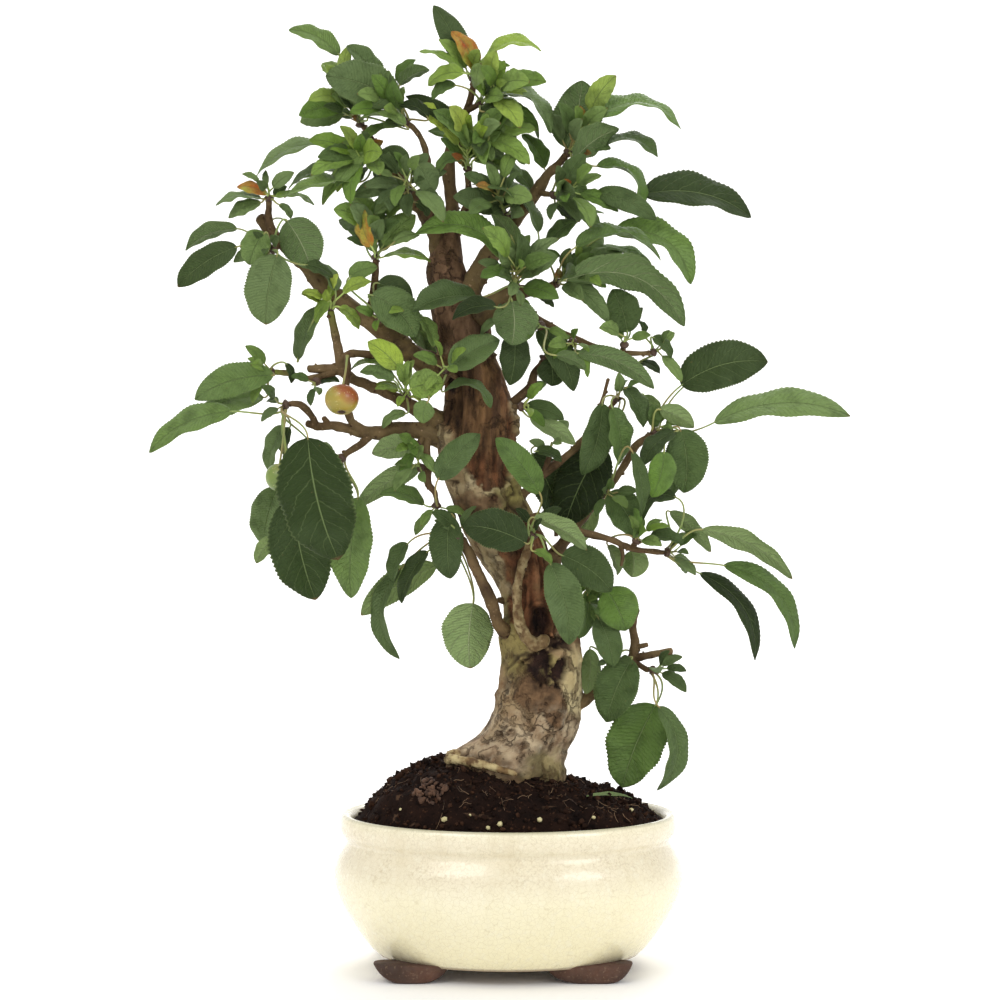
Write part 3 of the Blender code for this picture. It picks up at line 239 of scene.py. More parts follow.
def add(tree, kind, values=None, links=None, **settings):
    """Adds a node, sets its properties and inputs, and links what feeds it."""
    node = tree.nodes.new(kind)
    for key, value in settings.items():
        setattr(node, key, value)
    for key, value in (values or {}).items():
        node.inputs[key].default_value = value
    for key, source in (links or {}).items():
        tree.links.new(source, node.inputs[key])
    return node


def place(tree):
    """The object's own coordinates, in metres."""
    return add(tree, "ShaderNodeTexCoord").outputs["Object"]


def noise(tree, size_mm, detail=4, stretch=(1, 1, 1)):
    """Cloudy noise whose largest blobs are about size_mm across, stretched along the axes."""
    scaled = add(tree, "ShaderNodeMapping", {"Scale": [1 / s for s in stretch]}, {"Vector": place(tree)})
    levels = {"Scale": 1000 / size_mm / 1.6, "Detail": detail, "Roughness": 0.55}
    node = add(tree, "ShaderNodeTexNoise", levels, {"Vector": scaled.outputs[0]})
    return node.outputs["Fac"]


def ramp(tree, source, low, high):
    """Zero where the source is at low and one where it is at high, straight between."""
    node = add(tree, "ShaderNodeMapRange", {"From Min": low, "From Max": high}, {"Value": source})
    return node.outputs["Result"]


def blend(tree, factor, first, second):
    """Mixes two colours, or a colour text and a socket, by a factor."""
    node = add(tree, "ShaderNodeMix", data_type="RGBA")
    for slot_index, value in ((6, first), (7, second)):
        if isinstance(value, str):
            node.inputs[slot_index].default_value = colour(value)
        else:
            tree.links.new(value, node.inputs[slot_index])
    if isinstance(factor, (int, float)):
        node.inputs[0].default_value = factor
    else:
        tree.links.new(factor, node.inputs[0])
    return node.outputs[2]


def maths(tree, operation, first, second=None):
    """One sum, difference, product or the like of two sockets or numbers."""
    node = add(tree, "ShaderNodeMath", operation=operation)
    for slot_index, value in ((0, first), (1, second)):
        if value is None:
            continue
        if isinstance(value, (int, float)):
            node.inputs[slot_index].default_value = value
        else:
            tree.links.new(value, node.inputs[slot_index])
    return node.outputs[0]


def attribute(tree, name):
    """A value that the mesh carries at its points."""
    return add(tree, "ShaderNodeAttribute", attribute_name=name).outputs["Fac"]


def times(tree, first, second):
    """The product of two sockets or numbers."""
    return maths(tree, "MULTIPLY", first, second)


def plus(tree, first, second):
    """The sum of two sockets or numbers."""
    return maths(tree, "ADD", first, second)


def patches(tree, size_mm, detail, low, high, stretch=(1, 1, 1)):
    """Soft-edged patches: cloudy noise, zero where it is at low and one where it is at high."""
    return ramp(tree, noise(tree, size_mm, detail, stretch), low, high)


def wash(tree, base, tint, mask, share=1.0):
    """A wash of one tint over the base: the mask times the share says how much of it shows."""
    return blend(tree, mask if share == 1.0 else times(tree, mask, share), base, tint)


def raise_by(tree, shader, height, depth_mm, strength=1.0):
    """Shades the surface as if it stood out by the height times depth_mm."""
    node = add(tree, "ShaderNodeBump", {"Strength": strength, "Distance": depth_mm * MM}, {"Height": height})
    tree.links.new(node.outputs[0], shader.inputs["Normal"])


def paint(tree, shader, base, rough=None, levels=None):
    """Links the colour and, where it varies, the roughness, and sets the shader's other levels."""
    tree.links.new(base, shader.inputs["Base Color"])
    if rough is not None:
        tree.links.new(rough, shader.inputs["Roughness"])
    for name, level in (levels or {}).items():
        shader.inputs[name].default_value = level


print("pieces are built in millimetres and stored in metres, by", MM)

# %% [markdown]
# The pot is an oval bonsai bowl. A real one is pressed or cast in a mould, dried, dipped in glaze
# while it is held by its feet, and fired. So the body is one smooth turned form with a rolled rim
# and a pinched neck, squeezed to an oval, and the feet keep the bare red-brown clay. The curve runs
# through the same places as the plain pot's, which keeps the bowl on its form. The glaze is a cream
# one that has crazed: a net of hair cracks, larger pools of tone, and pinhole specks at the neck.

# %% Glaze
def cells(tree, size_mm, wobble=0.35, feature="DISTANCE_TO_EDGE"):
    """Distance to the borders of irregular cells, whose lines wander by a share of a cell."""
    levels = {"Scale": 1000 / size_mm / 1.3, "Detail": 2}
    drift = add(tree, "ShaderNodeTexNoise", levels, {"Vector": place(tree)})
    moved = add(tree, "ShaderNodeVectorMath", {1: (wobble * size_mm * MM,) * 3}, {0: drift.outputs["Color"]},
                operation="MULTIPLY")
    total = add(tree, "ShaderNodeVectorMath", None, {0: place(tree), 1: moved.outputs[0]}, operation="ADD")
    node = add(tree, "ShaderNodeTexVoronoi", {"Scale": 1000 / size_mm}, {"Vector": total.outputs[0]},
               feature=feature)
    return node.outputs["Distance"]


def height_of(tree):
    """Height over the ground in metres."""
    return add(tree, "ShaderNodeSeparateXYZ", None, {"Vector": place(tree)}).outputs["Z"]


def glaze_material():
    """Cream glaze: pools of tone, specks in the neck, a net of hair cracks, drips and a worn rim."""
    material, tree, shader = new_material("crazed_ivory_glaze")
    up = height_of(tree)
    base = blend(tree, patches(tree, 46, 3, 0.3, 0.7), "#F1EACE", "#EBE3C0")
    # The lower body is washed a lighter, yellower cream: partly the glaze's own tone, partly painted light
    # that lifts the shade low on the bowl.
    low = ramp(tree, up, 0.046, 0.014)
    base = wash(tree, base, "#F3EAC0", low, 0.6)
    shoulder = times(tree, ramp(tree, up, 0.043, 0.055), ramp(tree, up, 0.079, 0.072))
    speck = patches(tree, 0.8, 3, 0.5, 0.64)
    pool = patches(tree, 9, 4, 0.38, 0.62)
    base = wash(tree, base, "#DDD0B8", shoulder, 0.5)
    grain = times(tree, times(tree, speck, pool), shoulder)
    base = wash(tree, base, "#B09E80", grain, 0.42)
    milky = patches(tree, 2.1, 3, 0.52, 0.7)
    base = wash(tree, base, "#EFEAD2", milky, 0.4)
    edge = cells(tree, 2.6)
    fine = cells(tree, 1.1)
    crack = ramp(tree, edge, 0.055, 0.0)
    hair = ramp(tree, fine, 0.06, 0.0)
    net = plus(tree, times(tree, crack, 0.34), times(tree, hair, 0.16))
    base = wash(tree, base, "#B5A67E", net)
    drip = times(tree, patches(tree, 9, 4, 0.5, 0.7, (1, 1, 6)), ramp(tree, up, 0.03, 0.06))
    base = wash(tree, base, "#CBBB96", drip, 0.3)
    rim = ramp(tree, up, 0.0763, 0.0776)
    base = wash(tree, base, "#A5A080", rim, 0.75)
    foot = ramp(tree, up, 0.0094, 0.0082)
    base = wash(tree, base, "#8A745A", foot, 0.85)
    pits = patches(tree, 3.4, 2, 0.35, 0.75)
    rough = plus(tree, times(tree, pits, 0.14), 0.22)
    paint(tree, shader, base, rough, {"Coat Weight": 0.6, "Coat Roughness": 0.12})
    wave = plus(tree, times(tree, noise(tree, 16, 2), 1.6), times(tree, net, -0.22))
    raise_by(tree, shader, wave, 0.35, 0.6)
    return material


GLAZE = glaze_material()
print(GLAZE.name, len(GLAZE.node_tree.nodes), "nodes")

# %% Clay
def clay_material():
    """Bare clay, with pale grit and a damp foot."""
    material, tree, shader = new_material("bare_red_clay")
    base = blend(tree, patches(tree, 9, 4, 0.35, 0.7), "#3C291E", "#5E3F30")
    base = wash(tree, base, "#9A8068", patches(tree, 0.9, 2, 0.6, 0.72), 0.3)
    base = wash(tree, base, "#4C372E", ramp(tree, height_of(tree), 0.0016, 0.0))
    paint(tree, shader, base, patches(tree, 2, 2, -0.9, 0.9))
    raise_by(tree, shader, noise(tree, 1.2, 4), 0.3, 0.5)
    return material


CLAY = clay_material()
print(CLAY.name, len(CLAY.node_tree.nodes), "nodes")

# %% Pot body
POT_X = 4.25
OVAL = 0.82
POT_OVAL = 0.814
POT_UNDERSIDE = 7.8
FLOOR = 14.0
POT_RINGS = 150
POT_SIDES = 168
DRAIN_RADIUS = 7
DRAIN_X = 30
POT_PROFILE = [
    (0.0, POT_UNDERSIDE), (40.0, POT_UNDERSIDE), (63.0, POT_UNDERSIDE), (66.0, 8.4),
    (71.6, 13.8), (78.6, 24.0), (84.4, 34.5), (87.4, 45.0), (86.2, 55.0), (81.8, 62.4), (81.4, 65.0),
    (83.4, 68.0), (84.5, 71.5), (84.3, 75.4),
    (82.8, 77.6), (81.0, 77.6), (79.0, 76.2), (77.2, 71.0), (76.3, 64.5), (78.6, 57.0), (81.4, 49.0),
    (79.0, 34.0), (67.0, 17.8), (58.0, FLOOR), (30.0, FLOOR), (0.0, FLOOR),
]


def make_pot():
    """The profile turned round the middle and squeezed to an oval, with two drain holes cut through."""
    line = spline(POT_PROFILE, POT_RINGS)
    line[0, 0] = line[-1, 0] = 0.4
    turn = circle(POT_SIDES)
    r, z = line[:, :1], line[:, 1:]
    uneven = 0.12 * np.sin(3 * turn + z / 15) * smooth(20, 70, r)
    v = np.stack([POT_X + (r + uneven) * np.cos(turn), (r + uneven) * POT_OVAL * np.sin(turn),
                  z + 0 * turn], -1).reshape(-1, 3)
    ends = np.array([[POT_X, 0, POT_UNDERSIDE], [POT_X, 0, FLOOR]])
    around = np.arange(POT_SIDES)
    next_one = (around + 1) % POT_SIDES
    last = (POT_RINGS - 1) * POT_SIDES
    caps = np.concatenate([
        np.stack([np.full(POT_SIDES, len(v)), next_one, around], -1),
        np.stack([np.full(POT_SIDES, len(v) + 1), last + around, last + next_one], -1)])
    pot = make_piece("glazed_bowl", np.vstack([v, ends]), [grid_faces(POT_RINGS, POT_SIDES, True), caps],
                     [GLAZE], replaces=["pot"])
    for side in (-1, 1):
        bpy.ops.mesh.primitive_cylinder_add(vertices=40, radius=DRAIN_RADIUS * MM, depth=12 * MM,
                                            location=((POT_X + DRAIN_X * side) * MM, 0, 11 * MM))
        drill = bpy.context.object
        cut = pot.modifiers.new("drain", "BOOLEAN")
        cut.operation = "DIFFERENCE"
        cut.object = drill
        bpy.context.view_layer.objects.active = pot
        bpy.ops.object.modifier_apply(modifier="drain")
        bpy.data.objects.remove(drill)
    return pot


make_pot()

# %% Feet
FOOT_SIDES = 72
FOOT_INNER = 32.5
FOOT_OUTER = 45.5
FOOT_SQUARENESS = 0.55
FOOT_SPANS = [
    # left and right end under the bowl, and how far each end swells on the way up
    (-52.0, -35.0, 10.0, 11.0), (34.0, 57.0, 13.5, 8.0),
]
FOOT_LEVELS = np.array([0.0, 0.0, 0.2, 0.7, 1.6, 3.0, 4.8, 6.9, 9.2])
FOOT_SWELL = np.array([-3.0, -0.9, -0.3, 1.2, 3.0, 4.9, 6.5, 7.9, 9.0]) / 9


def rounded_box(x0, x1, y0, y1, turn):
    """A ring between a box and an oval: cosine and sine to a power under one, with their signs."""
    c, s = np.cos(turn), np.sin(turn)
    x = (x0 + x1) / 2 + (x1 - x0) / 2 * np.sign(c) * np.abs(c) ** FOOT_SQUARENESS
    y = (y0 + y1) / 2 + (y1 - y0) / 2 * np.sign(s) * np.abs(s) ** FOOT_SQUARENESS
    return x, y


def make_feet():
    """Four rounded pads, wider at the top where they run into the bowl."""
    turn = circle(FOOT_SIDES)
    heap = Heap()
    for left, right, swell_left, swell_right in FOOT_SPANS:
        for front in (-1, 1):
            rows = []
            for level, swell in zip(FOOT_LEVELS, FOOT_SWELL):
                grown, tucked = max(swell, 0), min(swell, 0)
                x0 = left - grown * swell_left - tucked * 9 * 0.8
                x1 = right + grown * swell_right + tucked * 9 * 0.8
                y0 = FOOT_INNER - 3.4 * grown - tucked * 7
                y1 = FOOT_OUTER + 2.0 * grown + tucked * 7
                x, y = rounded_box(x0, x1, y0, y1, turn)
                rows.append(np.stack([x, front * y, np.full(FOOT_SIDES, level)], -1))
            sheets = tube_faces(len(rows), FOOT_SIDES)
            if front < 0:
                sheets = [sheet[:, ::-1] for sheet in sheets]
            heap.put(np.concatenate(rows), sheets)
    return heap.piece("clay_feet", [CLAY], "glazed_ceramic", ["pot"])


make_feet()

# %% [markdown]
# The soil is a dark peat mix that was pressed into a mound round the trunk and has dried to crumbs.
# A field of heights gives the mound, and many small faceted crumbs of different brown lie on it, so
# that its skyline breaks up as a real one does. A few cream pellets of feed, a piece of bark and a
# narrow dry leaf lie on the front slope.

# %% Height of the soil
TRUNK_FOOT = (3.7, -1.0)
TRUNK_HOLE = (29.0, 23.3)
CRUMBS_CLEAR = (30.5, 24.8)
FIBRES_CLEAR = (31, 25.5)
SKYLINE = np.array([(-80, 75), (-72.5, 78.5), (-58.5, 88), (-50, 96), (-40, 101), (-28, 104), (-10, 100),
                    (10, 98), (32.5, 94), (47, 89), (67.5, 84), (81, 76), (90, 75)], float)
EDGE_Z = 74.6
SOIL_WALL = [(57.4, 14.5), (65.0, 17.4), (78.3, 34.2), (80.9, 49.0), (75.6, 64.0), (76.6, 73.4)]


def soil_top(x, y):
    """Height of the soil: the skyline, falling to the rim at the front and back, with crumbs."""
    reach = np.minimum(np.hypot((x - POT_X) / 78.0, y / (78.0 * OVAL)), 1.0)
    across = np.minimum(np.abs(y) / 62.0, 1.0)
    mound = (np.interp(x, SKYLINE[:, 0], SKYLINE[:, 1]) - EDGE_Z) * (1 - across ** 3.2)
    mound = mound * np.minimum((1 - reach) * 9, 1.0)
    crumble = 0.7 * np.sin(x / 4.3 + y / 7.0) * np.sin(y / 5.1 - x / 9.0) * (reach < 0.95)
    spot = np.stack([x, y, 0 * x], -1)
    clods = np.maximum(cloud(spot, 9.0, 4, 3.0), -0.35) * 2.3 + cloud(spot, 1.9, 2, 9.0) * 0.45
    return EDGE_Z + np.maximum(mound, 0) + crumble + clods * smooth(1.0, 0.9, reach) - 0.3


def on_soil(across, up):
    """The place on the soil's front slope that shows at a place of the picture plane."""
    depth = np.linspace(-63, 6, 277)
    grow = (EYE_DISTANCE + depth) / EYE_DISTANCE
    x = across * grow
    z = soil_top(x, depth)
    shows = EYE_HEIGHT + (z - EYE_HEIGHT) / grow
    k = int(np.argmin(np.abs(shows - up)))
    return np.array([x[k], depth[k], z[k]])


print("soil over the rim", round(float(soil_top(np.array([-30.0]), np.array([0.0]))[0] - EDGE_Z), 1), "mm")

# %% Soil materials
def soil_material():
    """Dark peat with a lighter tone on some crumbs, tan bits, fibres, and near-black patches that are
    painted shade for hollows.
    """
    material, tree, shader = new_material("peat_soil")
    tone = attribute(tree, "tone")
    base = blend(tree, patches(tree, 7, 5, 0.3, 0.72), "#120B09", "#261812")
    base = wash(tree, base, "#4A3224", tone)
    base = wash(tree, base, "#4E3526", patches(tree, 1.3, 3, 0.63, 0.76))
    fibre = patches(tree, 2.4, 3, 0.64, 0.72, (5, 1, 1))
    base = wash(tree, base, "#6A5240", fibre, 0.45)
    # Near-black patches stand in for the hollows between crumbs: painted shade.
    base = wash(tree, base, "#0C0706", patches(tree, 2.0, 4, 0.46, 0.3))
    paint(tree, shader, base, None, {"Roughness": 0.95, "Specular IOR Level": 0.08})
    raise_by(tree, shader, noise(tree, 1.5, 5), 0.9, 0.9)
    return material


def plain_material(name, light, dark, size_mm, roughness, bump_mm):
    """A matt material with two close tones in clouds, for small things on the soil."""
    material, tree, shader = new_material(name, roughness)
    paint(tree, shader, blend(tree, patches(tree, size_mm, 4, 0.35, 0.68), light, dark))
    raise_by(tree, shader, noise(tree, size_mm * 0.6, 4), bump_mm, 0.8)
    return material


SOIL = soil_material()
PELLET = plain_material("cream_feed_pellets", "#D9CFA0", "#B3A878", 1.0, 0.7, 0.15)
CHIP = plain_material("old_bark_chip", "#3A261A", "#60432F", 2.4, 0.85, 0.6)
print("soil materials", SOIL.name, PELLET.name, CHIP.name)

# %% Crumbs
golden = (1 + 5 ** 0.5) / 2
ICO = unit(np.array([(-1, golden, 0), (1, golden, 0), (-1, -golden, 0), (1, -golden, 0), (0, -1, golden),
                     (0, 1, golden), (0, -1, -golden), (0, 1, -golden), (golden, 0, -1), (golden, 0, 1),
                     (-golden, 0, -1), (-golden, 0, 1)], float))
ICO_FACES = np.array([(0, 11, 5), (0, 5, 1), (0, 1, 7), (0, 7, 10), (0, 10, 11), (1, 5, 9), (5, 11, 4),
                      (11, 10, 2), (10, 7, 6), (7, 1, 8), (3, 9, 4), (3, 4, 2), (3, 2, 6), (3, 6, 8),
                      (3, 8, 9), (4, 9, 5), (2, 4, 11), (6, 2, 10), (8, 6, 7), (9, 8, 1)])


def pebbles(places, sizes, random, rough=0.28, flat=0.75):
    """A faceted lump at each place: twelve corners pushed in and out, squashed and turned."""
    n = len(places)
    corners = ICO[None] * (1 + rough * random.uniform(-1, 1, (n, len(ICO), 1)))
    corners = corners * random.uniform(flat, 1.2, (n, 1, 3)) * sizes[:, None, None]
    spin = random.uniform(0, 2 * np.pi, (n, 2))
    c, s = np.cos(spin[:, :1]), np.sin(spin[:, :1])
    x, y, z = corners[..., 0], corners[..., 1], corners[..., 2]
    x, y = x * c - y * s, x * s + y * c
    c, s = np.cos(spin[:, 1:]), np.sin(spin[:, 1:])
    y, z = y * c - z * s, y * s + z * c
    v = np.stack([x, y, z], -1) + places[:, None]
    faces = ICO_FACES[None] + len(ICO) * np.arange(n)[:, None, None]
    return v.reshape(-1, 3), faces.reshape(-1, 3)


print("corners of a crumb", len(ICO))

# %% Mound
MOUND_SIDES = 250
MOUND_RADIUS = 77.4
MOUND_RINGS = 104
HOLE_FLOOR = 66.5
CRUMBS_WITHIN = 75.8
CRUMBS = 2200
HIGH_CRUMBS = [
    # across and up on the skyline left of the trunk, and size
    (-50, 97, 2.6), (-46, 99.5, 2.9), (-42.5, 101, 3.2), (-40.5, 103.5, 2.3), (-37, 104, 2.8),
    (-33, 106, 2.2), (-31.5, 103.5, 3.0), (-35, 102, 3.2), (-29.5, 106.5, 1.8), (-47.8, 98.5, 2.4),
    (-53, 94, 2.2),
]


def from_trunk(x, y, half_x, half_y):
    """Distance from the middle of the trunk's foot, in the half widths of an oval round it."""
    return np.hypot((x - TRUNK_FOOT[0]) / half_x, (y - TRUNK_FOOT[1]) / half_y)


def mound_sheet():
    """Rings of the wall inside the pot, then of the top, with the hole that the trunk stands in."""
    turn = circle(MOUND_SIDES)
    wall = [np.stack([POT_X + radius * np.cos(turn), radius * OVAL * np.sin(turn),
                      np.full(MOUND_SIDES, z)], -1) for radius, z in SOIL_WALL]
    share = np.linspace(1.0, 0.02, MOUND_RINGS)
    x = POT_X + MOUND_RADIUS * share[:, None] * np.cos(turn)
    y = MOUND_RADIUS * OVAL * share[:, None] * np.sin(turn)
    z = soil_top(x, y)
    inside = from_trunk(x, y, *TRUNK_HOLE)
    z = np.where(inside < 1, np.minimum(z, HOLE_FLOOR + 8 * smooth(0.6, 1.0, inside)), z)
    top = np.stack([x, y, z], -1).reshape(-1, 3)
    return np.vstack([np.concatenate(wall), top]), tube_faces(len(wall) + len(share), MOUND_SIDES)


def crumb_places(random):
    """Places and sizes of the crumbs: even over the oval by the square root, a few of them large."""
    angle = random.uniform(0, 2 * np.pi, CRUMBS)
    radius = CRUMBS_WITHIN * np.sqrt(random.uniform(0, 1, CRUMBS))
    x, y = POT_X + radius * np.cos(angle), radius * OVAL * np.sin(angle)
    clear = from_trunk(x, y, *CRUMBS_CLEAR) > 1
    x, y = x[clear], y[clear]
    sizes = 0.5 + 1.7 * random.uniform(0, 1, len(x)) ** 4
    across, up, high_sizes = np.array(HIGH_CRUMBS).T
    high = np.stack([across, np.linspace(-6, 3, len(across)), up - 0.6], -1)
    places = np.stack([x, y, soil_top(x, y) + 0.25 * sizes], -1)
    return np.vstack([places, high]), np.concatenate([sizes, high_sizes])


def make_soil():
    """Wall and mound as one round sheet, with the crumbs lying on it."""
    random = np.random.default_rng(7)
    heap = Heap("tone")
    heap.put(*mound_sheet())
    places, sizes = crumb_places(random)
    lumps, lump_faces = pebbles(places, sizes, random, 0.42, 0.5)
    tones = np.repeat(random.uniform(0, 1, len(places)) ** 2.4 * 0.75, len(ICO))
    heap.put(lumps, [lump_faces], tone=tones)
    return heap.piece("soil_mound", [SOIL], "soil", ["soil"])


make_soil()

# %% [markdown]
# On the front slope lie a few cream pellets of feed and an old bark chip that is falling apart.
# Both are lumps of the same kind as the crumbs. Their places are read off the picture plane, and
# each one is dropped on the slope where the line of sight meets it.

# %% Pellets and bark chip
PELLETS = [
    # across, up, size
    (-28, 73.5, 1.5), (-6, 69.5, 1.2), (0, 71, 1.5), (20, 73, 1.5), (47, 74.5, 1.1), (66, 78.5, 1.1),
    (-50, 79, 0.8), (33, 78, 0.7), (-15, 76, 0.7),
]
CHIP_MIDDLE = (-35.5, 88)
CHIP_HALF = (9, 7)
CHIP_CRUMBS = 90


def make_litter():
    """Cream pellets, and a diamond of bark crumbs where the sum of both shares stays small."""
    random = np.random.default_rng(11)
    places = np.array([on_soil(across, up) + (0, 0, 0.5 * size) for across, up, size in PELLETS])
    sizes = np.array([size for *_, size in PELLETS])
    groups = [("feed_pellets", *pebbles(places, sizes, random, 0.08, 0.95), PELLET)]
    chips = np.stack([random.uniform(-44, -27, CHIP_CRUMBS), random.uniform(81.5, 94.5, CHIP_CRUMBS)], -1)
    chips = chips[(np.abs(chips - CHIP_MIDDLE) / CHIP_HALF).sum(1) < 1.2]
    places = np.array([on_soil(across, up) + (0, 0, 0.7) for across, up in chips])
    sizes = random.uniform(0.7, 1.9, len(chips))
    groups.append(("bark_chip", *pebbles(places, sizes, random, 0.4, 0.5), CHIP))
    for name, lumps, faces, material in groups:
        make_piece(name, lumps, [faces], [material], replaces=["soil"])


make_litter()

# %% [markdown]
# The trunk is old wood: it was cut off twice and hollowed, and the living bark has rolled in over
# the cuts. So it shows bare dark deadwood with upright grain, lips of callus round it, a hollow, a
# worn knot or two, and between them smooth bark that is cream, olive and grey in turn. The form is
# a stack of ovals with flutes. The features are ovals on the picture plane with ragged borders;
# each one pushes the surface in or out and leaves a mask, from 0 to 1, that the bark material reads.

# %% Tables of the wood
TRUNK_RINGS = [
    (66.0, 4.0, 22.0, 20.0, 0.0), (96.0, 3.5, 30.0, 24.0, -1.0),
    (104.0, 4.0, 29.0, 24.0, -1.0), (111.0, 7.5, 27.0, 23.0, -1.0), (117.0, 13.5, 24.5, 22.0, 0.0),
    (126.0, 17.0, 22.3, 20.5, 0.0), (139.0, 19.8, 21.4, 19.5, 0.0),
    (158.0, 20.7, 20.2, 18.5, 0.0), (168.0, 20.4, 19.8, 18.0, 0.0), (181.0, 19.0, 16.6, 16.5, 0.0),
    (193.0, 14.6, 16.2, 15.5, 0.0), (205.0, 8.2, 17.8, 15.5, 0.0), (218.0, 2.0, 19.6, 16.0, 0.0),
    (228.0, -3.0, 19.4, 16.0, 0.0), (244.0, -9.4, 18.6, 16.5, 0.0),
    (268.0, -12.0, 20.2, 17.0, 0.0), (280.0, -10.0, 18.4, 16.5, 0.0), (296.0, -12.4, 15.6, 15.0, 0.0),
    (309.0, -16.6, 14.4, 13.5, 0.0), (323.0, -20.0, 14.2, 13.0, 0.0), (337.0, -22.6, 12.2, 11.5, 0.0),
    (350.0, -26.8, 10.2, 9.6, 0.0), (369.0, -24.8, 4.6, 4.6, 0.0),
]
